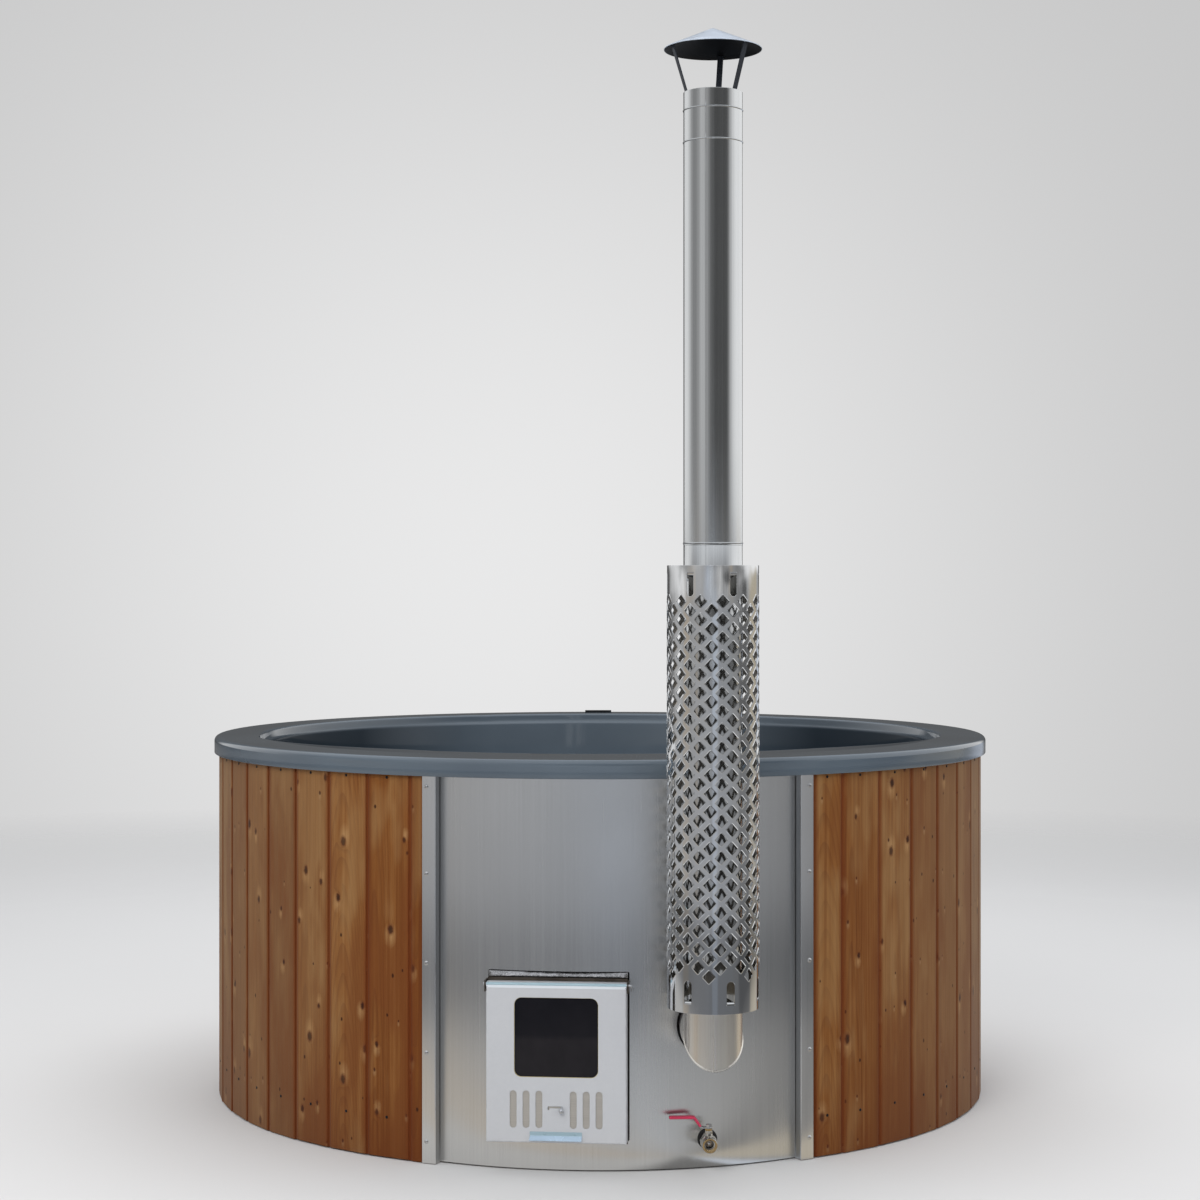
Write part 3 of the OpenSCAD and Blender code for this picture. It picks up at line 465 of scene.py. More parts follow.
    core = t.math("MULTIPLY", on, t.span(rel, 0.80, 1.12, 1.0, 0.0))
    body = t.mix(t.math("MULTIPLY", core, t.span(tint, 0, 1, 0.80, 0.98)), body, t.mix(t.span(rel, 0.1, 0.9, 0.0, 1.0), lin(32, 14, 8), lin(62, 28, 13)))
    core2 = t.math("MULTIPLY", on2, t.span(rel2, 0.65, 1.25, 1.0, 0.0))
    body = t.mix(t.math("MULTIPLY", core2, 0.90), body, t.mix(tint2, lin(34, 15, 8), lin(72, 32, 15)))
    # the groove beside each board is darker, part stain and part painted shade that reaches a few mm onto the faces,
    # and the boards get darker towards the bottom
    groove = t.attr("groove").outputs["Fac"]
    body = t.mix(t.math("MULTIPLY", groove, 0.80), body, lin(98, 44, 14))
    body = t.mix(t.span(low, 0.0, 0.20, 0.34, 0.0), body, lin(88, 40, 17))
    h = t.math("ADD", t.math("MULTIPLY", late, 0.35), t.math("MULTIPLY", fibre, 0.5))
    h = t.math("ADD", h, t.math("MULTIPLY", core, 0.8))
    rough = t.span(fibre, 0.3, 0.7, 0.50, 0.66)
    t.set(Base_Color=body, Roughness=rough, Normal=t.bump(h, 0.30, 0.0007), Specular_IOR_Level=0.12, Sheen_Weight=0.10, Sheen_Roughness=0.45, Sheen_Tint=(1.0, 0.84, 0.60, 1))
    return t.mat


def gelcoat(name):
    t = Tree(name)
    orange = t.noise(t.coord((140, 140, 140)), 1.0, 2.0, 0.5)
    slow = t.noise(t.coord((2.4, 2.4, 3.2)), 1.0, 3.0, 0.5)
    low = t.node("ShaderNodeSeparateXYZ", Vector=t.coord()).outputs[2]
    # the seat and the foot well have a pebbled, less slippery face
    pebble = t.node("ShaderNodeTexVoronoi", Vector=t.coord((1, 1, 1)), Scale=260.0).outputs["Distance"]
    grip = t.span(low, 0.50, 0.53, 1.0, 0.0)
    col = t.mix(t.span(slow, 0.3, 0.7), lin(74, 84, 94), lin(86, 97, 107))
    # painted reflection and shade: the hollow's wall is painted darker towards its two sides, where it reflects dark
    # surroundings, and its gloss and coat fade there
    xyz = t.node("ShaderNodeSeparateXYZ", Vector=t.coord())
    x, y = xyz.outputs[0], xyz.outputs[1]
    reach = t.math("SQRT", t.math("ADD", t.math("MULTIPLY", x, x), t.math("MULTIPLY", y, y)))
    side = t.math("MULTIPLY", t.span(t.math("ABSOLUTE", x), 0.28, 0.66), t.span(reach, 0.884, 0.898, 1.0, 0.0))
    col = t.mix(t.math("MULTIPLY", side, 0.8), col, lin(20, 27, 34))
    h = t.math("ADD", t.math("MULTIPLY", orange, 0.25), t.math("MULTIPLY", t.math("MULTIPLY", pebble, grip), 1.2))
    r = t.math("ADD", t.span(slow, 0.3, 0.7, 0.05, 0.09), t.math("MULTIPLY", grip, 0.18))
    t.set(Base_Color=col, Roughness=r, Normal=t.bump(h, 0.06, 0.0011), Specular_IOR_Level=t.span(side, 0.0, 1.0, 0.5, 0.03),
          Coat_Weight=t.span(side, 0.0, 1.0, 0.6, 0.0), Coat_Roughness=0.03)
    return t.mat


def galvanised(name, base, tint):
    t = Tree(name)
    v = t.node("ShaderNodeTexVoronoi", Vector=t.coord((1, 1, 1)), Scale=150.0)
    sp = t.node("ShaderNodeSeparateXYZ", Vector=v.outputs["Color"]).outputs[0]
    cloud = t.noise(t.coord((6, 6, 5)), 1.0, 4.0, 0.6)
    fine = t.noise(t.coord((500, 500, 30)), 1.0, 2.0, 0.6)
    col = t.mix(t.span(sp, 0, 1, 0.0, 0.10), base, tuple(c * 0.80 for c in base[:3]) + (1,))
    col = t.mix(t.span(cloud, 0.35, 0.7, 0.0, 0.30), col, tint)
    r = t.math("ADD", t.span(cloud, 0.3, 0.7, 0.40, 0.52), t.span(fine, 0.3, 0.7, -0.04, 0.04))
    t.set(Base_Color=col, Metallic=0.35, Roughness=r, Normal=t.bump(t.math("ADD", fine, t.math("MULTIPLY", sp, 0.3)), 0.06, 0.0005), Specular_IOR_Level=0.5)
    return t.mat


def foil(name):
    t = Tree(name)
    n = t.noise(t.coord((55, 55, 90)), 1.0, 5.0, 0.75, distort=1.2)
    col = t.mix(t.span(n, 0.3, 0.7), lin(118, 117, 116), lin(226, 226, 230))
    t.set(Base_Color=col, Metallic=0.92, Roughness=t.span(n, 0.3, 0.7, 0.16, 0.36), Normal=t.bump(n, 0.7, 0.003))
    return t.mat


def glass(name):
    """Dark heat-proof glass, sooted a little on its inner side."""
    t = Tree(name)
    soot = t.noise(t.coord((14, 14, 9)), 1.0, 4.0, 0.6)
    band = t.node("ShaderNodeSeparateXYZ", Vector=t.coord()).outputs[2]
    up = t.span(band, 0.300, 0.312, 0.0, 1.0)
    col = t.mix(t.span(soot, 0.3, 0.7), lin(22, 21, 24), lin(33, 31, 34))
    col = t.mix(t.math("MULTIPLY", up, 0.6), col, lin(13, 14, 20))
    t.set(Base_Color=col, Roughness=t.span(soot, 0.3, 0.7, 0.05, 0.12), Specular_IOR_Level=0.20)
    return t.mat


def insulation(name, a, b):
    t = Tree(name)
    n = t.noise(t.coord((90, 90, 220)), 1.0, 5.0, 0.75)
    t.set(Base_Color=t.mix(t.span(n, 0.3, 0.7), a, b), Roughness=0.95, Normal=t.bump(n, 0.8, 0.004), Sheen_Weight=0.3)
    return t.mat


def stained_steel(name, base, stain, rough):
    """Welded or heat-tinted plate: mill scale clouds and brown tint."""
    t = Tree(name)
    n = t.noise(t.coord((11, 11, 9)), 1.0, 5.0, 0.65)
    f = t.noise(t.coord((260, 260, 260)), 1.0, 2.0, 0.6)
    col = t.mix(t.span(n, 0.35, 0.68), base, stain)
    t.set(Base_Color=col, Metallic=0.9, Roughness=t.math("ADD", t.span(n, 0.3, 0.7, rough, rough + 0.15), t.span(f, 0.3, 0.7, -0.05, 0.05)), Normal=t.bump(t.math("ADD", n, t.math("MULTIPLY", f, 0.3)), 0.15, 0.0012))
    return t.mat


M = {}
M["timber"] = plain_wood("sawn_timber", lin(188, 160, 118), lin(140, 104, 66))
M["plywood"] = plain_wood("plywood", lin(196, 166, 122), lin(158, 122, 80), 0.5)
M["post"] = plain_wood("stained_post", lin(120, 76, 46), lin(84, 46, 26))
M["cladding"] = cladding_wood("oiled_cladding")
M["gelcoat"] = gelcoat("slate_gelcoat")
M["nail"] = satin("blackened_nail", lin(20, 26, 32), 0.42, metallic=0.6, tone=0.2)
M["panel"] = brushed("brushed_panel", (0.80, 0.81, 0.815, 1), 0.24, streak=(420, 420, 2.0), amount=0.08, tone=0.05, aniso=0.8, bump=0.05, patch=0.10)
M["trim"] = brushed("brushed_trim", (0.84, 0.845, 0.85, 1), 0.22, streak=(420, 420, 2.0), amount=0.08, tone=0.05, aniso=0.7, bump=0.05)
# painted shade: a darker copy of the trim steel for the return flange, which stands in shade beside the panel
M["fold"] = brushed("trim_fold", (0.42, 0.425, 0.43, 1), 0.34, streak=(420, 420, 2.0), amount=0.08, tone=0.06, bump=0.05)
M["screw"] = polished("bright_screw", (0.72, 0.72, 0.73, 1), 0.16, wob=0.1)
M["plate"] = stained_steel("stove_plate", (0.34, 0.34, 0.35, 1), (0.20, 0.17, 0.15, 1), 0.42)
M["firebox"] = stained_steel("sooted_plate", (0.035, 0.034, 0.034, 1), (0.075, 0.06, 0.05, 1), 0.6)
M["iron"] = stained_steel("cast_grate", (0.05, 0.05, 0.05, 1), (0.11, 0.07, 0.05, 1), 0.65)
M["wool"] = insulation("mineral_wool", lin(176, 168, 140), lin(206, 198, 172))
M["foil"] = foil("foil_facing")
M["frame"] = stained_steel("tinted_frame", (0.17, 0.145, 0.12, 1), (0.08, 0.065, 0.055, 1), 0.40)
M["rod"] = polished("bright_rod", (0.74, 0.76, 0.79, 1), 0.14, wob=0.05)
M["door"] = galvanised("galvanised_door", lin(206, 208, 212), lin(190, 194, 201))
# painted light: the roll along the door's top gets lit copies of the door's zinc, pale blue for a painted sky
# reflection on its top and near white for a painted highlight on its front bend
M["door_edge"] = galvanised("door_roll", lin(164, 188, 198), lin(138, 164, 178))
M["door_bright"] = galvanised("door_roll_painted_highlight", lin(232, 237, 243), lin(218, 225, 234))
M["glass"] = glass("sooted_glass")
M["seal"] = satin("heat_seal", lin(34, 33, 32), 0.85, grain=500, tone=0.25, bump=0.4, dist=0.0012)
M["handle"] = satin("filmed_lip", lin(166, 188, 208), 0.26, metallic=0.25, tone=0.12, coat=0.4)
M["damper"] = brushed("damper_sheet", (0.62, 0.595, 0.555, 1), 0.5, streak=(9, 9, 420), amount=0.12, tone=0.08, bump=0.10, metallic=0.75)
M["hose"] = satin("black_hose", lin(22, 22, 23), 0.55, tone=0.25, bump=0.2)
M["white"] = satin("white_fitting", lin(214, 215, 212), 0.24, tone=0.03, coat=0.2)
M["grey"] = satin("grey_pipe", lin(112, 114, 118), 0.38, tone=0.06)
M["grommet"] = satin("black_grommet", lin(12, 12, 13), 0.5, tone=0.3, bump=0.2)
M["nickel"] = polished("nickel_plate", (0.62, 0.595, 0.55, 1), 0.13, wob=0.3, streak=(160, 160, 160), dist=0.0012)
M["brass"] = polished("bare_brass", (0.62, 0.44, 0.22, 1), 0.22, wob=0.2, streak=(200, 200, 200), dist=0.0008)
M["lever"] = brushed("plated_lever", (0.62, 0.62, 0.63, 1), 0.24, streak=(6, 260, 260), amount=0.08)
M["red"] = satin("red_sleeve", lin(178, 40, 74), 0.32, tone=0.14, grain=300, bump=0.12, coat=0.3)
M["flue"] = brushed("drawn_flue", (0.66, 0.675, 0.685, 1), 0.13, streak=(330, 330, 0.6), amount=0.09, tone=0.10, bump=0.10, patch=0.05)
M["elbow"] = brushed("satin_elbow", (0.95, 0.885, 0.815, 1), 0.27, streak=(240, 240, 2.5), amount=0.12, tone=0.10, bump=0.16, patch=0.20)
M["guard"] = polished("mirror_guard", (0.80, 0.81, 0.82, 1), 0.045, wob=0.22, streak=(26, 26, 2.2), dist=0.006, tone=0.03)
M["guard_in"] = brushed("guard_inside", (0.30, 0.285, 0.26, 1), 0.34, streak=(60, 60, 2.2), amount=0.10, tone=0.12, bump=0.10, patch=0.25)
M["leg"] = satin("dark_strap", lin(62, 66, 74), 0.36, metallic=0.6, tone=0.2)
M["cap_top"] = satin("cap_outside", lin(196, 206, 220), 0.30, metallic=0.55, tone=0.06)
M["cap_under"] = satin("cap_underside", lin(14, 15, 20), 0.45, metallic=0.35, tone=0.3)
M["clip"] = satin("black_clip", lin(20, 21, 23), 0.35, tone=0.2)

# the carried-over CAD solids
CARRIED = {
    "base_joists": "timber", "floor_boards": "plywood", "heater_bearers": "timber", "lower_ring": "timber",
    "upper_ring": "timber", "studs": "timber", "bench_posts": "timber", "front_posts": "post",
    "water_jacket": "plate", "firebox": "firebox", "baffle_plate": "firebox", "fire_grate": "iron",
    "heater_mat": "wool", "door_frame": "frame", "door_glass": "glass", "glass_gasket": "seal",
    "glass_clips": "door", "clip_screws": "screw", "door_seal": "seal", "damper_guides": "door",
    "damper_plate": "damper", "water_hoses": "hose", "hose_clamps": "screw", "wall_fittings": "white",
    "fitting_nuts": "white", "water_grilles": "white", "drain_flange": "white", "drain_elbow": "grey",
    "drain_pipe": "nickel", "panel_grommet": "grommet", "valve_ball": "screw", "valve_stem": "screw",
    "valve_lever": "lever", "smoke_stub": "plate", "cap_legs": "leg", "rim_clip": "clip"}
for node, key in CARRIED.items():
    o = NODES[node]
    for s in o.material_slots:
        s.link = "DATA"
        s.material = M[key]

# ------------------------------------------------------------------ sizes taken from the frame
TUB_R = 1.000
RIM_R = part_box("liner")[1][0]
TUB_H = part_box("liner")[1][2]
APRON = TUB_H - 0.043
BOARD_Z0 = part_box("cladding_front_left")[0][2]
BOARD_Z1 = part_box("cladding_front_left")[1][2]
SEAT_Z = 0.510
WELL_R = 0.476
OPEN_R = 0.896
FRONT_R = 0.800
FLUE = (0.196, -1.1155)
FLUE_R = 0.065
GUARD_R = 0.101
DOOR_A = rad(-8.15)


def door_place(x, y, z):
    """Door frame millimetres to the row frame in metres."""
    x, y, z = x / 1000, y / 1000, z / 1000
    return Vector((x * math.cos(DOOR_A) - y * math.sin(DOOR_A), x * math.sin(DOOR_A) + y * math.cos(DOOR_A), z))


# ------------------------------------------------------------------ sheet metal with holes
def oriented(loop, ccw):
    a = sum(loop[i][0] * loop[(i + 1) % len(loop)][1] - loop[(i + 1) % len(loop)][0] * loop[i][1] for i in range(len(loop)))
    return list(loop) if (a > 0) == ccw else list(reversed(loop))


def offset(loop, d):
    """Moves each point of a loop to its left by d."""
    p = np.array(loop)
    e = np.roll(p, -1, 0) - p
    e /= np.linalg.norm(e, axis=1)[:, None]
    n = np.stack([-e[:, 1], e[:, 0]], 1)
    m = n + np.roll(n, 1, 0)
    k = 1 + (n * np.roll(n, 1, 0)).sum(1)
    return p + d * m / np.maximum(k, 0.35)[:, None]


def inside(loop, pts):
    """Even-odd test of many points against one loop."""
    p = np.array(loop)
    q = np.roll(p, -1, 0)
    x, y = pts[:, 0][:, None], pts[:, 1][:, None]
    cross = (p[:, 1] > y) != (q[:, 1] > y)
    with np.errstate(divide="ignore", invalid="ignore"):
        xi = (q[:, 0] - p[:, 0]) * (y - p[:, 1]) / (q[:, 1] - p[:, 1]) + p[:, 0]
    return (cross & (x < xi)).sum(1) % 2 == 1


def sheet(name, outer, holes, thick, wrap, mat, grid_uv, body, replaces, edge=0.0006, hole_edge=0.0004, sink=0.7, creases=()):
    """A bent sheet with holes: outer and holes are (u, v) loops in metres, wrap(u, v, depth) gives the place in the row frame.
    Creases are lines of points that stay edges of the mesh."""
    loops = [(oriented(outer, True), edge)] + [(oriented(h, False), hole_edge) for h in holes]
    pts, edges, offs = [], [], []
    for lp, d in loops:
        o = offset(lp, d)
        k = len(pts)
        pts += [tuple(x) for x in o]
        n = len(o)
        edges += [(k + i, k + (i + 1) % n) for i in range(n)]
        offs.append((k, n))
    for line in creases:
        k = len(pts)
        pts += list(line)
        edges += [(k + i, k + i + 1) for i in range(len(line) - 1)]
    if grid_uv is not None and len(grid_uv):
        g = np.array(grid_uv)
        ok = inside(offset(loops[0][0], 0.001), g)
        for lp, d in loops[1:]:
            ok &= ~inside(offset(lp, d + 0.001), g)
        pts += [tuple(x) for x in g[ok]]
    cv, ce, cf, ov, oe, of_ = delaunay_2d_cdt([Vector(x) for x in pts], edges, [], 0, 1e-8)
    cv = np.array([(v.x, v.y) for v in cv])
    tri = np.array([f for f in cf if len(f) == 3])
    mid = cv[tri].mean(1)
    keep = inside(offset(loops[0][0], edge), mid)
    for lp, d in loops[1:]:
        keep &= ~inside(offset(lp, d), mid)
    tri = tri[keep]
    a, b, c = cv[tri[:, 0]], cv[tri[:, 1]], cv[tri[:, 2]]
    flip = ((b[:, 0] - a[:, 0]) * (c[:, 1] - a[:, 1]) - (c[:, 0] - a[:, 0]) * (b[:, 1] - a[:, 1])) < 0
    tri[flip] = tri[flip][:, ::-1]
    back_of = {}
    for new, olds in enumerate(ov):
        for o in olds:
            back_of[o] = new
    nv = len(cv)
    verts = [wrap(u, v, 0.0) for u, v in cv] + [wrap(u, v, thick) for u, v in cv]
    faces = [tuple(t) for t in tri] + [tuple(int(i) + nv for i in t[::-1]) for t in tri]
    kinds = [1] * len(tri) + [-1] * len(tri)
    for (lp, d), (k, n) in zip(loops, offs):
        f0 = len(verts)
        verts += [wrap(u, v, d * sink) for u, v in lp]
        verts += [wrap(u, v, thick) for u, v in lp]
        for i in range(n):
            j = (i + 1) % n
            ti, tj = back_of[k + i], back_of[k + j]
            faces += [(f0 + i, f0 + j, tj, ti), (f0 + n + i, f0 + n + j, f0 + j, f0 + i), (nv + ti, nv + tj, f0 + n + j, f0 + n + i)]
            kinds += [0, 0, -1]
    me = bpy.data.meshes.new(name)
    me.from_pydata([tuple(v) for v in verts], [], faces)
    me.materials.append(mat)
    me.polygons.foreach_set("use_smooth", [True] * len(me.polygons))
    me.update()
    uv_all = np.concatenate([cv, cv] + [np.array(list(lp) + list(lp)) for lp, d in loops])
    e = 1e-4
    normals = []
    cache = {}
    for poly, kind in zip(me.polygons, kinds):
        for vi in poly.vertices:
            if kind == 0:
                normals.append(tuple(poly.normal))
                continue
            if vi not in cache:
                u, v = uv_all[vi]
                du = wrap(u + e, v, 0.0) - wrap(u - e, v, 0.0)
                dv = wrap(u, v + e, 0.0) - wrap(u, v - e, 0.0)
                cache[vi] = du.cross(dv).normalized()
            n = cache[vi]
            normals.append(tuple(n if kind > 0 else -n))
    me.normals_split_custom_set(normals)
    ob = bpy.data.objects.new(name, me)
    scene.collection.objects.link(ob)
    own(ob, body, replaces)
    return ob


# ------------------------------------------------------------------ liner
S_PHI = [0, 38, 44, 53, 62, 70, 78, 180]
S_VAL = [1.0, 1.0, 0.86, 0.60, 0.34, 0.13, 0.0, 0.0]


def open_radius(phi):
    a = abs((phi + 180) % 360 - 180)
    x = float(np.interp(a, S_PHI, S_VAL))
    return OPEN_R - (OPEN_R - FRONT_R) * x


def liner_profile(ro, dip=0.0):
    mm = 0.001
    top = TUB_H
    out = [(0.0, 0.096), (0.15, 0.0962), (0.30, 0.0962), (WELL_R - 0.030, 0.096)]
    out += arc(WELL_R - 0.026, 0.122, 0.026, -90, 0, 6)[1:]
    out += [(WELL_R, 0.2), (WELL_R, 0.3), (WELL_R, 0.4)]
    out += arc(WELL_R + 0.016, SEAT_Z - 0.016, 0.016, 180, 90, 6)
    s0 = ro - 0.054
    out += [(WELL_R + 0.06, SEAT_Z), ((WELL_R + s0) / 2, SEAT_Z + 0.001), (s0 - 0.03, SEAT_Z)]
    out += [(s0 - 0.010, SEAT_Z + 0.0008), (s0 + 0.004, SEAT_Z + 0.005), (s0 + 0.013, SEAT_Z + 0.013), (s0 + 0.019, SEAT_Z + 0.026)]
    lo, hi = (s0 + 0.019, SEAT_Z + 0.026), (ro - 0.0125, top - 0.031)
    for k in range(1, 7):
        out.append((lo[0] + (hi[0] - lo[0]) * k / 6, lo[1] + (hi[1] - lo[1]) * k / 6))
    out += [(ro - 0.0118, top - 0.0275), (ro - 0.0100, top - 0.0248), (ro - 0.0070, top - 0.0236), (ro - 0.0046, top - 0.0226), (ro - 0.0030, top - 0.0205)]
    out += [(ro - 0.0018 - dip * 0.4, top - 0.0150), (ro - 0.0006 - dip, top - 0.0095 - dip)]
    out += [(x, y - dip * 0.8) for x, y in arc(ro + 0.0066, top - 0.0072, 0.0070, 176, 96, 6)]
    out += [(ro + 0.018, top + 0.0), ((ro + RIM_R) / 2, top - 0.0003), (RIM_R - 0.022, top - 0.0001)]
    out += arc(RIM_R - 0.0120, top - 0.0120, 0.0120, 88, 0, 8)
    out += [(RIM_R - 0.0001, top - 0.024), (RIM_R - 0.0001, APRON + 0.0016), (RIM_R - 0.0012, APRON + 0.0004), (RIM_R - 0.0030, APRON)]
    # and back along the hidden side
    t = 0.006
    out += [(RIM_R - t, APRON), (RIM_R - t, top - 0.012), (RIM_R - 0.010, top - t), (ro + 0.012, top - t), (ro + 0.006, top - 0.010),
            (ro + 0.0032, top - 0.0235), (ro - 0.0045, top - 0.0285), (ro - 0.0065, top - 0.034), (s0 + 0.026, SEAT_Z + 0.024), (s0 + 0.014, SEAT_Z + 0.004),
            (s0, SEAT_Z - t), (WELL_R + 0.020, SEAT_Z - t), (WELL_R + t, SEAT_Z - 0.020), (WELL_R + t, 0.112), (WELL_R - 0.010, 0.090), (0.0, 0.090)]
    return out


# a few small moulding dips in the lip, as angles round the tub with their depth
DIPS = [(-12.3, 1.3, 0.0022), (-8.4, 0.5, 0.0012), (17.5, 0.6, 0.0016), (19.0, 0.4, 0.0012), (21.2, 1.6, 0.0024), (-31.0, 1.2, 0.0010), (140.0, 1.5, 0.0012), (-160.0, 1.0, 0.0010)]


def make_liner():
    n = 288
    cols = []
    for i in range(n):
        phi = 360 * i / n
        d = 0.0
        for c, w, deep in DIPS:
            x = ((phi - c + 180) % 360 - 180) / w
            d += deep * math.exp(-x * x)
        cols.append((phi, liner_profile(open_radius(phi), d)))
    m = len(cols[0][1])
    verts = [(0, 0, cols[0][1][0][1]), (0, 0, cols[0][1][-1][1])]
    for phi, pr in cols:
        for r, z in pr[1:-1]:
            verts.append(tuple(polar(phi, r, z)))
    k = m - 2
    faces = []
    for i in range(n):
        j = (i + 1) % n
        a, b = 2 + i * k, 2 + j * k
        faces.append((0, b, a))
        for q in range(k - 1):
            faces.append((a + q, b + q, b + q + 1, a + q + 1))
        faces.append((a + k - 1, b + k - 1, 1))
    ob = add("liner_shell", verts, faces, M["gelcoat"], replaces=("liner",), angle=50)
    outward(ob)
    holes = []
    for z in (0.150, 0.420):
        loop = [(0.0241 * math.cos(TAU * q / 40), z + 0.0241 * math.sin(TAU * q / 40)) for q in range(40)]
        holes.append(prism(loop, -WELL_R - 0.02, -WELL_R + 0.04, lambda x, y, zz: Vector((x, y, zz))))
    loop = [(0.196 + 0.0202 * math.cos(TAU * q / 40), -0.380 + 0.0202 * math.sin(TAU * q / 40)) for q in range(40)]
    holes.append(prism(loop, 0.07, 0.11, lambda x, y, zz: Vector((x, zz, y))))
    cut(ob, holes)
    shade(ob.data, True, 50)
    return ob


make_liner()

# ------------------------------------------------------------------ cladding boards
WOOD_R, RIP_R, RIP_L, BOARDS = 26.57, 4.70, 2.11, 44
FIRST = WOOD_R + RIP_R
LAST = 360 - WOOD_R - RIP_L
PITCH = (LAST - FIRST) / BOARDS


def board_profile(hw):
    """(across, depth, groove) in mm, counter-clockwise seen from above the outside. The groove value weights the
    darkening at the groove, part stain and part painted shade, and reaches a few mm onto the face.
    """
    g, cw = 0.15, 8.0
    a, b = -hw, hw - g
    return [
        (a + g, 3.6, 1), (a + cw - 3.2, 3.6, 1), (a + cw - 1.8, 3.3, 1), (a + cw - 0.8, 2.7, 1), (a + cw + 0.2, 1.8, 0.9), (a + cw + 1.4, 0.9, 0.75), (a + cw + 2.6, 0.3, 0.6),
        (a + cw + 4.4, 0.0, 0.45), (a + cw + 10.0, 0.0, 0.0), ((a + b) / 2, 0.0, 0.0), (b - 9.0, 0.0, 0.0), (b - 3.6, 0.0, 0.36),
        (b - 2.0, 0.3, 0.5), (b - 0.8, 1.0, 0.7), (b, 2.0, 0.9), (b, 11.8, 1), (b + 6, 12.0, 1), (b + 6, 16.0, 1), (b, 16.2, 1), (b, 28.0, 1),
        (a + g, 28.0, 1), (a + g, 17.6, 1), (a + g + 8, 17.2, 1), (a + g + 8, 10.0, 1), (a + g, 9.6, 1)]


def make_boards(name, spans, node):
    verts, faces, grain, board, groove = [], [], [], [], []
    for a0, a1 in spans:
        half = rad((a1 - a0) / 2)
        ap, hw = TUB_R * math.cos(half) * 1000, TUB_R * math.sin(half) * 1000
        mid = (a0 + a1) / 2
        small = a1 - a0 < 6
        pr = board_profile(hw)
        if small and a1 - a0 < 3:
            flush = []
            for x, d, g in pr:
                q = (min(x, hw - 0.15), d, g)
                if not flush or q[:2] != flush[-1][:2]:
                    flush.append(q)
            pr = flush
        r1, r2, r3 = rng.random(), rng.random(), rng.random()
        ou, oz = 0.5 * rng.randrange(4, 40), float(rng.randrange(2, 60))
        # each board stands a hair in or out of its neighbours, and its foot is sawn not quite square
        out = rng.uniform(-0.35, 0.0)
        foot = rng.uniform(0.0, 0.0022)
        rows = [(BOARD_Z0 + foot, 0.8), (BOARD_Z0 + foot + 0.0009, 0.0), (0.25, 0.0), (0.5, 0.0), (0.75, 0.0), (BOARD_Z1 - 0.0008, 0.0), (BOARD_Z1, 0.8)]
        k0 = len(verts)
        m = len(pr)
        for z, inset in rows:
            for x, d, g in pr:
                dd = d + (inset if d < 9 else 0) - out
                a = rad(mid)
                r = (ap - dd) / 1000
                X = x / 1000
                verts.append((r * math.sin(a) + X * math.cos(a), -r * math.cos(a) + X * math.sin(a), z))
                grain.append((X + ou, d / 1000, z + oz))
                board.append((r1, r2, r3))
                groove.append(float(g))
        for q in range(len(rows) - 1):
            for i in range(m):
                j = (i + 1) % m
                faces.append((k0 + q * m + i, k0 + q * m + j, k0 + (q + 1) * m + j, k0 + (q + 1) * m + i))
        faces.append(tuple(k0 + i for i in reversed(range(m))))
        faces.append(tuple(k0 + (len(rows) - 1) * m + i for i in range(m)))
    ob = add(name, verts, faces, M["cladding"], replaces=(node,), angle=28)
    me = ob.data
    for key, kind, data in (("grain", "FLOAT_VECTOR", grain), ("board", "FLOAT_VECTOR", board), ("groove", "FLOAT", groove)):
        at = me.attributes.new(key, kind, "POINT")
        at.data.foreach_set("vector" if kind == "FLOAT_VECTOR" else "value", np.array(data, dtype=np.float32).ravel())
    return ob


full = [(FIRST + k * PITCH, FIRST + (k + 1) * PITCH) for k in range(BOARDS)]
make_boards("boards_front_right", [(WOOD_R, FIRST)] + full[0:11], "cladding_front_right")
make_boards("boards_rear_right", full[11:22], "cladding_rear_right")
make_boards("boards_rear_left", full[22:33], "cladding_rear_left")
make_boards("boards_front_left", full[33:44] + [(LAST, 360 - WOOD_R)], "cladding_front_left")

# nails with slightly domed heads
verts, faces = [], []
spots = [((a + b) / 2, TUB_R * math.cos(rad(PITCH / 2))) for a, b in full] + [(WOOD_R + RIP_R / 2, TUB_R * math.cos(rad(RIP_R / 2)))]
for phi, ap in spots:
    for z in (0.095, 0.875):
        prof = [(0.0, 0.0012), (0.0016, 0.00115), (0.0028, 0.0008), (0.0034, 0.0002), (0.0035, -0.0008), (0.0014, -0.0009), (0.0013, -0.030), (0.0, -0.0315)]
        k0 = len(verts)
        v, f = lathe(prof, 16)
        a = rad(phi)
        base = Vector((ap * math.sin(a), -ap * math.cos(a), z))
        n, s = Vector((math.sin(a), -math.cos(a), 0)), Vector((math.cos(a), math.sin(a), 0))
        for x, y, h in v:
            verts.append(base + n * h + s * x + Vector((0, 0, 1)) * y)
        faces += [tuple(k0 + i for i in q) for q in f]
outward(add("nail_heads", verts, faces, M["nail"], replaces=("cladding_nails",), angle=40))


# ------------------------------------------------------------------ front panel and its trims
PANEL_R, PANEL_C = 0.840, -0.156


def panel_wrap(u, v, d):
    a = u / PANEL_R
    r = PANEL_R - d
    return Vector((r * math.sin(a), PANEL_C - r * math.cos(a), v))


def panel_u_of_door(xp):
    """Where a plane x' = const of the door frame meets the panel's face, as arc length."""
    y = -1000.0
    for _ in range(20):
        p = door_place(xp, y, 0)
        r = math.hypot(p.x, p.y - PANEL_C)
        y += (r - PANEL_R) * 1000
    return PANEL_R * math.atan2(p.x, -(p.y - PANEL_C))


def spread(a, b, step):
    n = max(1, int(round(abs(b - a) / step)))
    return [a + (b - a) * i / n for i in range(n + 1)]


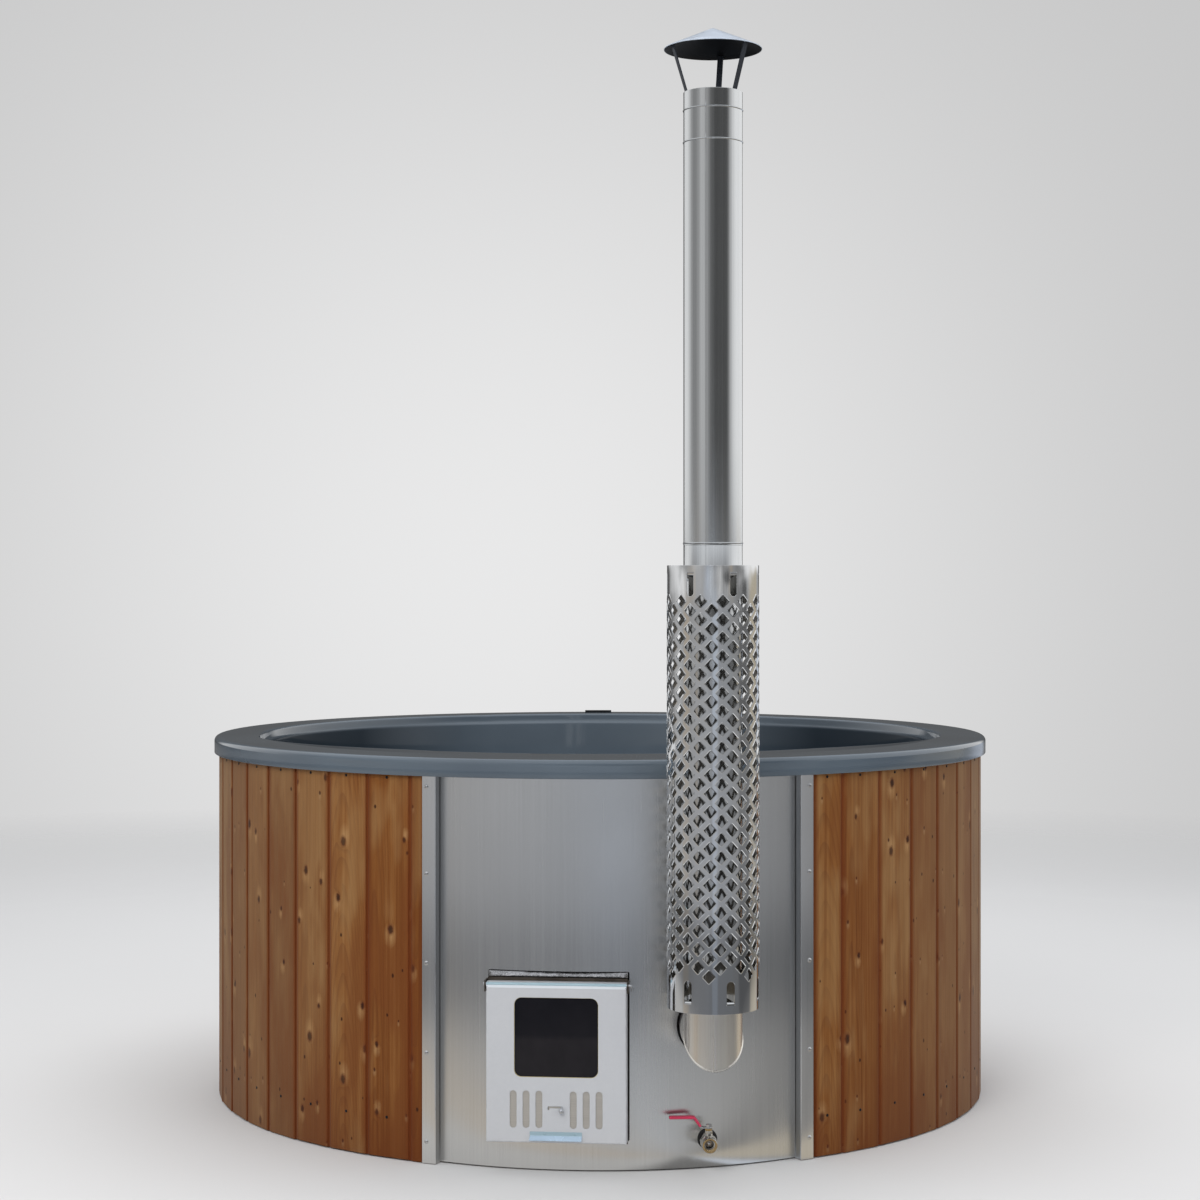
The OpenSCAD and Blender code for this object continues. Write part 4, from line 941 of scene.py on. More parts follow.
def box_loop(u0, u1, v0, v1, r=0.0, step=0.04, n=4):
    """A rectangle with rounded corners, its sides cut into steps."""
    pts = []
    corners = [(u1, v0, -90), (u1, v1, 0), (u0, v1, 90), (u0, v0, 180)]
    for k, (cu, cv, a) in enumerate(corners):
        su, sv = (-1 if cu == u1 else 1), (-1 if cv == v1 else 1)
        mu, mv = cu + su * r, cv + sv * r
        if r > 0:
            arc_pts = [(mu + r * math.cos(rad(a + 90 * i / n)), mv + r * math.sin(rad(a + 90 * i / n))) for i in range(n + 1)]
        else:
            arc_pts = [(cu, cv)]
        if pts:
            a0, b0 = pts[-1], arc_pts[0]
            m = max(1, int(math.hypot(b0[0] - a0[0], b0[1] - a0[1]) / step))
            pts += [(a0[0] + (b0[0] - a0[0]) * i / m, a0[1] + (b0[1] - a0[1]) * i / m) for i in range(1, m)]
        pts += arc_pts
    a0, b0 = pts[-1], pts[0]
    m = max(1, int(math.hypot(b0[0] - a0[0], b0[1] - a0[1]) / step))
    pts += [(a0[0] + (b0[0] - a0[0]) * i / m, a0[1] + (b0[1] - a0[1]) * i / m) for i in range(1, m)]
    return pts


def disc_loop(cu, cv, r, n=72, f=lambda x: x):
    return [(f(cu + r * math.cos(TAU * i / n)), cv + r * math.sin(TAU * i / n)) for i in range(n)]


pu = PANEL_R * math.asin(0.4066 / PANEL_R)
to_u = lambda x: PANEL_R * math.asin(x / PANEL_R)
dl, dr = panel_u_of_door(-160), panel_u_of_door(160)
grid = [(u, v) for u in spread(-pu + 0.008, pu - 0.008, 0.012) for v in spread(0.012, 0.904, 0.035)]
panel = sheet("panel_sheet", box_loop(-pu, pu, 0.004, BOARD_Z1, 0.001, 0.02, 2),
              [box_loop(dl, dr, 0.069, 0.449, 0.004, 0.02), disc_loop(0.196, 0.326, 0.0695, 96, to_u), disc_loop(0.196, 0.068, 0.020, 48, to_u)],
              0.0015, panel_wrap, M["panel"], grid, "tub", ("front_panel",), edge=0.0004, hole_edge=0.0004)

POST = 25.55
for sgn, node in ((-1, "left_trim"), (1, "right_trim")):
    # folded strip: face over the board edge, return flange beside the panel, in (across, out) mm
    e = -sgn
    face = [(-17 * e, 1001.5), (-17 * e, 1002.6), (-16.6 * e, 1003.0)]
    face += [((17 - 2.2) * e + 2.2 * e * math.sin(rad(a)), 1003.0 - 2.2 + 2.2 * math.cos(rad(a))) for a in (0, 18, 36, 54, 72, 90)]
    face += [(17 * e, 978.0), (16.6 * e, 977.0), (15.5 * e, 977.0)]
    face += [((17 - 2.2) * e + 0.7 * e * math.sin(rad(a)), 1003.0 - 2.2 + 0.7 * math.cos(rad(a))) for a in (90, 60, 30, 0)]
    a = rad(sgn * POST)
    n, s = Vector((math.sin(a), -math.cos(a), 0)), Vector((math.cos(a), math.sin(a), 0))
    rows = [BOARD_Z0, BOARD_Z0 + 0.3, BOARD_Z0 + 0.6, BOARD_Z1]
    m = len(face)
    verts = [n * (o / 1000) + s * (x / 1000) + Vector((0, 0, z)) for z in rows for x, o in face]
    faces = [(q * m + i, q * m + (i + 1) % m, (q + 1) * m + (i + 1) % m, (q + 1) * m + i) for q in range(len(rows) - 1) for i in range(m)]
    faces += [tuple(range(m)), tuple((len(rows) - 1) * m + i for i in reversed(range(m)))]
    # the return flange takes the trim's painted-shade copy
    strip = outward(add(node + "_strip", verts, faces, [M["trim"], M["fold"]], replaces=(node,), angle=35))
    strip.data.polygons.foreach_set("material_index", [1 if abs(p.center.to_2d().dot(s.to_2d())) > 0.0155 and (p.center.to_2d().length < 1.0005) else 0 for p in strip.data.polygons])

# pan head screws with a six-lobed drive
prof = [(0.0, 0.0030), (0.0020, 0.0029), (0.0036, 0.0022), (0.0047, 0.0012), (0.0053, 0.0003), (0.0053, 0.0), (0.0021, 0.0), (0.0018, -0.0004), (0.0018, -0.0285), (0.0, -0.030)]
v, f = lathe(prof, 40)
tmp = add("tmp_screw", v, f, M["screw"], angle=40)
outward(tmp)
lobe = [((1.55 + 0.30 * math.cos(6 * TAU * i / 48)) / 1000 * math.cos(TAU * i / 48), (1.55 + 0.30 * math.cos(6 * TAU * i / 48)) / 1000 * math.sin(TAU * i / 48)) for i in range(48)]
cut(tmp, [prism(lobe, 0.0012, 0.006, lambda x, y, z: Vector((x, z, y)))])
sv = [v.co.copy() for v in tmp.data.vertices]
sf = [tuple(p.vertices) for p in tmp.data.polygons]
bpy.data.objects.remove(tmp)
verts, faces = [], []
for sgn in (-1, 1):
    a = rad(sgn * POST)
    n, s = Vector((math.sin(a), -math.cos(a), 0)), Vector((math.cos(a), math.sin(a), 0))
    for z in (0.051, 0.253, 0.457, 0.660, 0.858):
        k0 = len(verts)
        turn = rng.uniform(0, TAU)
        base = n * 1.003 + s * (sgn * 0.006) + Vector((0, 0, z))
        for p in sv:
            x, y = p.x * math.cos(turn) - p.y * math.sin(turn), p.x * math.sin(turn) + p.y * math.cos(turn)
            verts.append(base + n * p.z + s * x + Vector((0, 0, 1)) * y)
        faces += [tuple(k0 + i for i in q) for q in sf]
outward(add("trim_screw_heads", verts, faces, M["screw"], replaces=("trim_screws",), angle=35))

# ------------------------------------------------------------------ door
HW, BR, DEEP, ZB, HZ, HY, HR = 157.7, 3.0, 27.0, 72.0, 424.5, 1027.5, 4.5
HB = HW - BR
BEND = BR * math.pi / 2
V_TOP = HZ + HR * rad(262)
SLIT = 419.6


def door_wrap(u, v, d):
    """Flat pattern of the door sheet (metres) folded up: sides and foot bent back, top rolled round the hinge rod."""
    u, v, d = u * 1000, v * 1000, d * 1000
    au, su = abs(u), (1 if u >= 0 else -1)
    if au > HB + 1e-7 and v < SLIT:
        t = au - HB
        if t < BEND:
            q = t / BR
            return door_place(su * (HB + (BR - d) * math.sin(q)), -1032 + BR - (BR - d) * math.cos(q), v)
        return door_place(su * (HW - d), -1032 + BR + (t - BEND), v)
    if au > 157.6 and v >= SLIT:
        t = au - HB
        return door_place(su * (HW - d), -1032 + BR + (t - BEND), v)
    if v < ZB + BR:
        t = ZB + BR - v
        if t < BEND:
            q = t / BR
            return door_place(u, -1032 + BR - (BR - d) * math.cos(q), ZB + BR - (BR - d) * math.sin(q))
        return door_place(u, -1032 + BR + (t - BEND), ZB + d)
    if v > HZ:
        q = (v - HZ) / HR
        return door_place(u, -HY - (HR - d) * math.cos(q), HZ + (HR - d) * math.sin(q))
    return door_place(u, -1032 + d, v)


def chain(pts, step):
    """Closed loop through the corner points with its sides cut into steps."""
    out = []
    for i, a in enumerate(pts):
        b = pts[(i + 1) % len(pts)]
        m = max(1, int(math.hypot(b[0] - a[0], b[1] - a[1]) / step))
        out += [(a[0] + (b[0] - a[0]) * k / m, a[1] + (b[1] - a[1]) * k / m) for k in range(m)]
    return out


SIDE = BEND + DEEP
FOOT = ZB + BR - BEND - DEEP
right = [(HB - 0.3, FOOT), (HB - 0.3, ZB + BR + 0.4), (HB + 0.3, ZB + BR + 0.4), (HB + 0.3, ZB + 0.4), (HB + SIDE, ZB + 0.4), (HB + SIDE, 419.2),
         (HB - 0.1, 419.2), (HB - 0.1, 420.2), (157.4, 420.2), (157.4, V_TOP)]
outline = [(x / 1000, y / 1000) for x, y in chain(right + [(-x, y) for x, y in reversed(right)], 2.4)]


def slot_loop(x, w, z0, z1, n=10):
    r = w / 2
    pts = [(x + r * math.cos(rad(-180 + 180 * i / n)), z0 + r + r * math.sin(rad(-180 + 180 * i / n))) for i in range(n + 1)]
    pts += [(x + r * math.cos(rad(180 * i / n)), z1 - r + r * math.sin(rad(180 * i / n))) for i in range(n + 1)]
    return [(a / 1000, b / 1000) for a, b in pts]


door_holes = [[(x / 1000, z / 1000) for x, z in rounded_rect(189, 178, 16.5, 0, 307, 8)]]
door_holes += [slot_loop(s * x, 15.2, 104.5, 188) for s in (-1, 1) for x in (38.5, 67.5, 96.5)]
r = 2.2
guide = [(12.4 + r * math.cos(rad(a)), 151.5 + r * math.sin(rad(a))) for a in range(-90, 91, 18)]
guide += [(-16.5 + r * math.cos(rad(a)), 151.5 + r * math.sin(rad(a))) for a in range(90, 181, 18)]
guide += [(-16.5 + r * math.cos(rad(a)), 147.5 + r * math.sin(rad(a))) for a in range(180, 361, 18)]
guide += [(-14.3, 149.0), (-14.0, 149.3)]
door_holes.append([(a / 1000, b / 1000) for a, b in guide])
gu = spread(-HB + 2, HB - 2, 12)
gx = [s * (HB + BEND * k / 6) for s in (-1, 1) for k in range(0, 7)] + [s * (HB + BEND + 9 * k) for s in (-1, 1) for k in (1, 2)]
gz = spread(ZB + BR + 2, 418, 12)
grid = [(x, z) for x in gu for z in gz]
grid += [(x, z) for x in gx for z in spread(ZB + 2, 417.5, 9)]
grid += [(x, ZB + BR - BEND * k / 6) for x in spread(-HB + 2, HB - 2, 9) for k in range(0, 7)] + [(x, FOOT + 9 * k) for x in spread(-HB + 2, HB - 2, 12) for k in (1, 2)]
grid += [(x, 421.0) for x in spread(-153, 153, 9)]
grid += [(x, HZ + HR * rad(262) * k / 22) for x in spread(-155.5, 155.5, 9) for k in range(0, 22)]
grid = [(x / 1000, z / 1000) for x, z in grid]
door = sheet("door_pan", outline, door_holes, 0.0014, door_wrap, M["door"], grid, "door", ("door_shell",), edge=0.0003, hole_edge=0.0005, sink=0.6,
             creases=([(x / 1000, 0.4230) for x in spread(-156.5, 156.5, 3)], [(x / 1000, 0.4172) for x in spread(-HB - BEND, HB + BEND, 3)]))
# the roll's top carries the painted sky reflection, the band just below it the painted highlight
door.data.materials.append(M["door_edge"])
door.data.materials.append(M["door_bright"])
door.data.polygons.foreach_set("material_index", [1 if p.center.z > 0.4230 else 2 if p.center.z > 0.4172 else 0 for p in door.data.polygons])


def door_box(name, x0, x1, y0, y1, z0, z1, mat, body, w=0.0004, replaces=()):
    loop = [(x0, z0), (x1, z0), (x1, z1), (x0, z1)]
    v, f = prism(loop, y0, y1, door_place)
    ob = add(name, v, f, mat, body=body, replaces=replaces)
    outward(ob)
    return bevelled(ob, w, 2)


door_box("door_top_flange", -157.5, 157.5, -1022.6, -1002.4, 427.2, 428.8, M["door"], "door")
for s in (-1, 1):
    door_box("door_ear_%s" % ("left" if s < 0 else "right"), min(s * 156.2, s * 157.7), max(s * 156.2, s * 157.7), -1022.6, -1002.4, 418.6, 428.8, M["door"], "door")

# fibre gasket: its edge shows as a pale line inside the window
loop_o = [(x / 1000, z / 1000) for x, z in rounded_rect(208, 196, 6, 0, 307, 4)]
loop_i = [(x / 1000, z / 1000) for x, z in rounded_rect(187.6, 176.6, 16, 0, 307, 8)]
fibre = insulation("fibre_gasket", lin(206, 192, 140), lin(180, 164, 116))
sheet("gasket_frame", loop_o, [loop_i], 0.0019, lambda u, v, d: door_place(u * 1000, -1030.0 + d * 1000, v * 1000), fibre, None, "door", ("glass_gasket",), edge=0.0002, hole_edge=0.0003)


def sweep(path, section, closed_section=True, up=None):
    """Carries a section (a, b) along a path of points; a runs across, b along up x tangent. Returns verts, faces with end caps."""
    path = [Vector(p) for p in path]
    verts, faces = [], []
    m = 0
    side = Vector(up) if up is not None else None
    prev = None
    for i, p in enumerate(path):
        t = (path[min(i + 1, len(path) - 1)] - path[max(i - 1, 0)]).normalized()
        if side is not None:
            a = (side - t * side.dot(t)).normalized()
        else:
            a = prev - t * prev.dot(t) if prev is not None else t.orthogonal()
            a.normalize()
        prev = a
        b = t.cross(a)
        sec = section(i) if callable(section) else section
        m = len(sec)
        verts += [p + a * x + b * y for x, y in sec]
    for q in range(len(path) - 1):
        for i in range(m):
            j = (i + 1) % m
            faces.append((q * m + i, q * m + j, (q + 1) * m + j, (q + 1) * m + i))
    faces += [tuple(range(m)), tuple((len(path) - 1) * m + i for i in reversed(range(m)))]
    return verts, faces


def ring(r, n=24):
    return [(r * math.cos(TAU * i / n), r * math.sin(TAU * i / n)) for i in range(n)]


# pull lip folded from sheet, with two weld dimples on its upper strip
lip = [(-1032.0, 88.2), (-1032.0, 96.6), (-1032.4, 97.0), (-1033.1, 97.0), (-1033.5, 96.6), (-1033.5, 89.2), (-1033.8, 88.2), (-1034.6, 87.2),
       (-1044.6, 80.6), (-1045.0, 79.9), (-1044.8, 79.2), (-1044.1, 78.9), (-1043.5, 79.1), (-1033.4, 85.9), (-1032.4, 86.9)]
xs = [-59.0, -58.7] + spread(-56, 55, 6) + [57.7, 58.0]
verts, faces = [], []
m = len(lip)
for k, x in enumerate(xs):
    inset = 0.0003 if k in (0, len(xs) - 1) else 0.0
    cy, cz = sum(p[0] for p in lip) / m, sum(p[1] for p in lip) / m
    for y, z in lip:
        sc = 0.985 if inset else 1.0
        yy = cy + (y - cy) * sc if y < -1032.01 else y
        verts.append(door_place(x, yy, cz + (z - cz) * sc))
for q in range(len(xs) - 1):
    for i in range(m):
        j = (i + 1) % m
        faces.append((q * m + i, q * m + j, (q + 1) * m + j, (q + 1) * m + i))
faces += [tuple(range(m)), tuple((len(xs) - 1) * m + i for i in reversed(range(m)))]
k0 = len(verts)
for cx in (-26.0, 43.0):
    v, f = lathe([(0.0, 0.0006), (0.0012, 0.0008), (0.0022, 0.0006), (0.0028, 0.0001), (0.0028, -0.0006), (0.0, -0.0006)], 24)
    k0 = len(verts)
    verts += [door_place(cx + x * 1000, -1033.5 - h * 1000, 93.0 + y * 1000) for x, y, h in v]
    faces += [tuple(k0 + i for i in q) for q in f]
handle = outward(add("pull_lip", verts, faces, [M["handle"], M["door_edge"]], body="door", replaces=("door_handle",), angle=30))
# the lip's upper strip carries the door roll's painted sky reflection
handle.data.polygons.foreach_set("material_index", [1 if p.center.z > 0.0884 else 0 for p in handle.data.polygons])

# damper pin: bent rod with a ball, riveted behind the plate
path = [(12.3, -1026.4, 151.5), (12.3, -1028, 151.5), (12.3, -1032, 151.5), (12.3, -1035.0, 151.5)]
path += [(12.3, -1035.0 - 2.2 * math.sin(rad(a)), 151.5 - 2.2 + 2.2 * math.cos(rad(a))) for a in (15, 30, 45, 60, 75, 90)]
path += [(12.3, -1037.2, 148.0), (12.3, -1037.4, 146.5)]
verts, faces = sweep([door_place(*p) for p in path], ring(0.0019, 20))
v, f = lathe([(0.0, 6.2)] + [(6.2 * math.sin(rad(a)), 6.2 * math.cos(rad(a))) for a in range(6, 175, 6)] + [(0.0, -6.2)], 48)
k0 = len(verts)
verts += [door_place(12.3 + x, -1038.8 + y, 143.6 + z) for x, y, z in v]
faces += [tuple(k0 + i for i in q) for q in f]
v, f = lathe([(0.0, 1.2), (2.4, 1.0), (3.7, 0.3), (4.0, -0.1), (4.0, -0.2), (0.0, -0.2)], 28)
k0 = len(verts)
verts += [door_place(12.3 + x, -1027.5 + z, 151.5 + y) for x, y, z in v]
faces += [tuple(k0 + i for i in q) for q in f]
outward(add("damper_pin", verts, faces, M["rod"], body="damper", replaces=("damper_knob",), angle=40))

# hinge rod with its bent end
path = [(-164.5, -HY, HZ), (-164.2, -HY, HZ)] + [(x, -HY, HZ) for x in spread(-160, 160, 40)] + [(165.0, -HY, HZ)]
path += [(165 + 5 * math.sin(rad(a)), -HY, HZ - 5 + 5 * math.cos(rad(a))) for a in (15, 30, 45, 60, 75, 90)]
path += [(170, -HY, HZ - 9), (170, -HY, HZ - 12.6), (170, -HY, HZ - 13)]
ends = (0, len(path) - 1)
verts, faces = sweep([door_place(*p) for p in path], lambda i: ring(0.0026 if i in ends else 0.0030, 28))
outward(add("bent_hinge_rod", verts, faces, M["rod"], replaces=("hinge_rod",), angle=40))

# foil-faced wool above the door collar, crumpled and bulging over the frame's flange
nx, nl = 190, 18
verts, faces = [], []
for i in range(nx + 1):
    x = -157 + 314 * i / nx
    taper = smoothstep(156.5, 150.5, abs(x)) if abs(x) > 150.5 else 1.0
    for j in range(nl):
        t = j / (nl - 1)
        z = 436.5 + 10.6 * t
        q = Vector((x * 0.11, z * 0.25, 1.7))
        w = noise.noise(q) * 1.3 + abs(noise.noise(q * 2.3)) * 1.8 + noise.noise(q * 6.1) * 0.7
        bulge = float(np.interp(t, [0, 0.08, 0.22, 0.45, 0.7, 0.88, 1], [6.5, 9.5, 11.3, 10.6, 7.4, 3.4, 0.2]))
        y = -988 - (bulge + w * min(1.0, t * 8, (1 - t) * 8)) * taper
        verts.append(door_place(x, y, z))
    verts.append(door_place(x, -945, 447.1))
    verts.append(door_place(x, -945, 436.5))
m = nl + 2
for i in range(nx):
    for j in range(m):
        jj = (j + 1) % m
        faces.append((i * m + j, i * m + jj, (i + 1) * m + jj, (i + 1) * m + j))
faces += [tuple(range(m)), tuple(nx * m + j for j in reversed(range(m)))]
outward(add("foil_strip", verts, faces, M["foil"], replaces=("collar_insulation",), angle=60))

# ------------------------------------------------------------------ smoke pipe
STUB_Z, LEG_TOP = 0.326, 0.408


def seam(phi, centre, width, height):
    """A narrow raised lock seam along a pipe."""
    x = abs((phi - centre + 180) % 360 - 180) / width
    return height * max(0.0, 1 - x ** 4) if x < 1 else 0.0


def pipe_angles(n, centre, width):
    a = [360 * i / n for i in range(n)]
    a += [(centre + width * k) % 360 for k in (-1.0, -0.8, -0.4, 0.0, 0.4, 0.8, 1.0)]
    return sorted(set(round(x, 4) for x in a))


def pipe(name, outer, inner, phi_seam, mat, replaces, width=0.8, height=0.0007):
    """Thin-walled pipe about the flue axis: outer and inner are (r, z) lists going up. The seam runs over the outer skin."""
    ang = pipe_angles(120, phi_seam, width)
    prof = [(r, z, 1) for r, z in outer] + [(r, z, 0) for r, z in reversed(inner)]
    m, verts, faces = len(prof), [], []
    for phi in ang:
        h = seam(phi, phi_seam, width, height)
        for r, z, o in prof:
            p = polar(phi, r + h * o, z)
            verts.append((FLUE[0] + p.x, FLUE[1] + p.y, z))
    n = len(ang)
    for i in range(n):
        for j in range(m):
            faces.append((i * m + j, ((i + 1) % n) * m + j, ((i + 1) % n) * m + (j + 1) % m, i * m + (j + 1) % m))
    return outward(add(name, verts, faces, mat, replaces=replaces, angle=50))


def swell(z, w=0.0019, h=0.0015, n=8):
    """A rolled bead as a few (r, z) points."""
    return [(FLUE_R + h * math.sin(math.pi * i / n), z - w + 2 * w * i / n) for i in range(n + 1)]


lower = [(FLUE_R - 0.0003, 0.4083), (FLUE_R, 0.4086), (FLUE_R, 0.55), (FLUE_R, 0.9), (FLUE_R, 1.2), (FLUE_R, 1.4037), (FLUE_R - 0.0003, 1.4040)]
pipe("flue_lower_pipe", lower, [(FLUE_R - 0.001, 0.4083), (FLUE_R - 0.001, 1.4040)], -19.4, M["flue"], ("lower_flue",))
top = 2.3985
upper = [(FLUE_R - 0.0002, 1.4042), (FLUE_R + 0.0004, 1.4044), (FLUE_R + 0.0004, 1.4060)] + swell(1.4085) + [(FLUE_R, 1.4120), (FLUE_R, 1.6), (FLUE_R, 1.9), (FLUE_R, 2.2)]
upper += swell(2.2885) + [(FLUE_R, 2.304), (FLUE_R, 2.342)] + swell(2.3585) + [(FLUE_R, 2.374), (FLUE_R, top - 0.0024), (FLUE_R, top - 0.0012), (FLUE_R, top - 0.0003), (FLUE_R - 0.0003, top)]
pipe("flue_upper_pipe", upper, [(FLUE_R - 0.001, 1.4042), (FLUE_R - 0.001, top)], -19.4, M["flue"], ("upper_flue",))
# the sleeve of the lower length that the upper one slips over
pipe("flue_sleeve", [(FLUE_R - 0.0011, 1.3980), (FLUE_R - 0.0011, 1.4520)], [(FLUE_R - 0.0021, 1.3980), (FLUE_R - 0.0021, 1.4520)], 160, M["flue"], (), height=0.0)

# mitred elbow: upright leg above the 45 degree plane, level leg below it, joined by a folded seam
ang = pipe_angles(144, -4.4, 0.9)
n = len(ang)


def elbow_point(phi, r, t):
    """t in metres along the pipe from the mitre: up the upright leg above 0, towards the tub below 0."""
    a = rad(phi)
    x, c = r * math.sin(a), r * math.cos(a)
    if t >= 0:
        z0 = STUB_Z - c
        f = max(0.0, min(1.0, t))
        return (FLUE[0] + x, FLUE[1] - c, z0 + (LEG_TOP - 0.0005 - z0) * f)
    y0 = FLUE[1] - c
    f = min(1.0, -t)
    return (FLUE[0] + x, y0 + (-1.0185 - y0) * f, STUB_Z - c)


def leg(phi, r, dist, up):
    """A point dist metres away from the mitre along one leg."""
    a = rad(phi)
    x, c = r * math.sin(a), r * math.cos(a)
    if up:
        return (FLUE[0] + x, FLUE[1] - c, STUB_Z - c + dist)
    return (FLUE[0] + x, FLUE[1] - c + dist, STUB_Z - c)


rows = [("f", 1.0), ("f", 0.985), ("f", 0.75), ("f", 0.5), ("f", 0.25), ("u", 0.0032, 0), ("u", 0.0024, 0), ("u", 0.0019, 0.0010), ("m", 0, 0.0017), ("d", 0.0019, 0.0010), ("d", 0.0024, 0), ("d", 0.0032, 0),
        ("f", -0.3), ("f", -0.6), ("f", -0.9), ("f", -1.0)]
verts, faces = [], []
for phi in ang:
    h = seam(phi, -4.4, 0.9, 0.0006)
    for row in rows:
        if row[0] == "f":
            base = FLUE_R + (h if row[1] > 0 else 0.0) + (0.0004 if row[1] == 1.0 else 0.0)
            if row[1] > 0:
                lo = Vector(leg(phi, base, 0.0032, True))
                hi = Vector(elbow_point(phi, base, 1.0))
                verts.append(lo.lerp(hi, row[1]))
            else:
                lo = Vector(leg(phi, base, 0.0032, False))
                hi = Vector(elbow_point(phi, base, -1.0))
                verts.append(lo.lerp(hi, -row[1]))
        elif row[0] == "m":
            a = rad(phi)
            r = FLUE_R + row[2]
            c = r * math.cos(a)
            verts.append((FLUE[0] + r * math.sin(a), FLUE[1] - c, STUB_Z - c))
        else:
            verts.append(leg(phi, FLUE_R + row[2] + (h if row[0] == "u" else 0), row[1], row[0] == "u"))
    # inner skin
    for t in (-1.0, -0.5):
        lo, hi = Vector(leg(phi, FLUE_R - 0.001, 0.0, False)), Vector(elbow_point(phi, FLUE_R - 0.001, -1.0))
        verts.append(lo.lerp(hi, -t))
    verts.append(leg(phi, FLUE_R - 0.001, 0.0, True))
    for t in (0.5, 1.0):
        lo, hi = Vector(leg(phi, FLUE_R - 0.001, 0.0, True)), Vector(elbow_point(phi, FLUE_R - 0.001, 1.0))
        verts.append(lo.lerp(hi, t))
m = len(rows) + 5
for i in range(n):
    for j in range(m):
        faces.append((i * m + j, ((i + 1) % n) * m + j, ((i + 1) % n) * m + (j + 1) % m, i * m + (j + 1) % m))
outward(add("mitred_elbow", verts, faces, M["elbow"], replaces=("smoke_elbow",), angle=38))
pipe("elbow_sleeve", [(FLUE_R - 0.0011, 0.3985), (FLUE_R - 0.0011, 0.4480)], [(FLUE_R - 0.0021, 0.3985), (FLUE_R - 0.0021, 0.4480)], 160, M["elbow"], (), height=0.0)

# rain cap: shallow cone with a rolled rim
CAP_R, CAP_Z, CAP_TOP = 0.108, 2.494, 2.541
prof = [(0.0, CAP_TOP), (0.002, CAP_TOP - 0.0004), (0.006, CAP_TOP - 0.0019)]
for k in range(1, 9):
    r = 0.006 + (CAP_R - 0.0012 - 0.006) * k / 8
    prof.append((r, CAP_TOP - 0.0019 - (CAP_TOP - 0.0019 - CAP_Z - 0.0016) * k / 8))
prof += [(CAP_R - 0.0004, CAP_Z + 0.0010), (CAP_R, CAP_Z + 0.0002), (CAP_R - 0.0003, CAP_Z - 0.0007), (CAP_R - 0.0012, CAP_Z - 0.0008), (CAP_R - 0.0022, CAP_Z - 0.0001)]
under = [(CAP_R - 0.0032 - (CAP_R - 0.0092) * k / 8, CAP_Z + 0.0012 + (CAP_TOP - 0.0032 - CAP_Z - 0.0012) * k / 8) for k in range(0, 9)]
v, f = lathe(prof + under + [(0.0, CAP_TOP - 0.0018)], 144, FLUE)
cap = outward(add("cone_cap", v, f, [M["cap_top"], M["cap_under"]], replaces=("rain_cap",), angle=50))
cap.data.polygons.foreach_set("material_index", [1 if p.normal.z < -0.2 and (p.center.xy - Vector(FLUE)).length < CAP_R - 0.0016 else 0 for p in cap.data.polygons])

# ------------------------------------------------------------------ perforated heat guard
VIEW_TURN = 5.4
G0, G1 = 0.390, 1.360
COLS, STEP = 26, 360 / 26
CAM0 = -140.1
DW, DH = 0.0139, 0.0146
ROW0, ROW_P, ROWS = 1.282, 0.01978, 42


def g_angle(i, z):
    """Object angle of hole column i at the height z, with the sheet's slight twist."""
    return CAM0 + STEP * i - VIEW_TURN - 3.5 * min(1.0, max(0.0, (ROW0 - z) / 0.820))


def has_hole(i, j):
    i = i % COLS
    if j < 0 or j >= ROWS:
        return False
    if j == ROWS - 1:
        return i % 4 == 2 or i == 24
    return (i % 2) != (j % 2)


def g_wrap(u, v, d):
    a = u / GUARD_R
    r = GUARD_R - d
    return Vector((FLUE[0] + r * math.sin(a), FLUE[1] - r * math.cos(a), v))


def diamond(w, h, n=2, c=0.10, k=3):
    """Diamond with slightly rounded corners and its sides cut in n steps, counter-clockwise."""
    corner = [(w, 0), (0, h), (-w, 0), (0, -h)]
    out = []
    for q in range(4):
        p0, p1, p2 = Vector(corner[q - 1]), Vector(corner[q]), Vector(corner[(q + 1) % 4])
        a, b = p1.lerp(p0, c), p1.lerp(p2, c)
        for i in range(k + 1):
            t = i / k
            out.append(tuple((a * (1 - t) ** 2 + p1 * 2 * t * (1 - t) + b * t * t)))
        nx = Vector(corner[(q + 1) % 4]).lerp(p1, c)
        for i in range(1, n):
            out.append(tuple(b.lerp(nx, i / n)))
    return out


DIA = diamond(DW, DH)
arcm = rad(1) * GUARD_R
holes = []
for i in range(COLS):
    for j in range(ROWS):
        if has_hole(i, j):
            z = ROW0 - ROW_P * j
            u = g_angle(i, z) * arcm
            holes.append([(u + x, z + y) for x, y in DIA])
dia_holes = len(holes)
slots = []
for q in range(6):
    i = 4 * q
    u = (CAM0 + STEP * i - VIEW_TURN) * arcm
    w, lo, hi = 0.008, 1.2925, 1.3450
    slots.append([(u + w * math.cos(rad(a)), lo + w + w * math.sin(rad(a))) for a in range(180, 361, 15)] + [(u + w, 1.32), (u + w, hi), (u, hi), (u - w, hi), (u - w, 1.32)])
    u = g_angle(i, 0.462) * arcm
    w, lo, hi = 0.0095, 0.4098, 0.4605
    slots.append([(u - w, 0.435), (u - w, lo), (u, lo), (u + w, lo), (u + w, 0.435)] + [(u + w * math.cos(rad(a)), hi - w + w * math.sin(rad(a))) for a in range(0, 181, 15)])


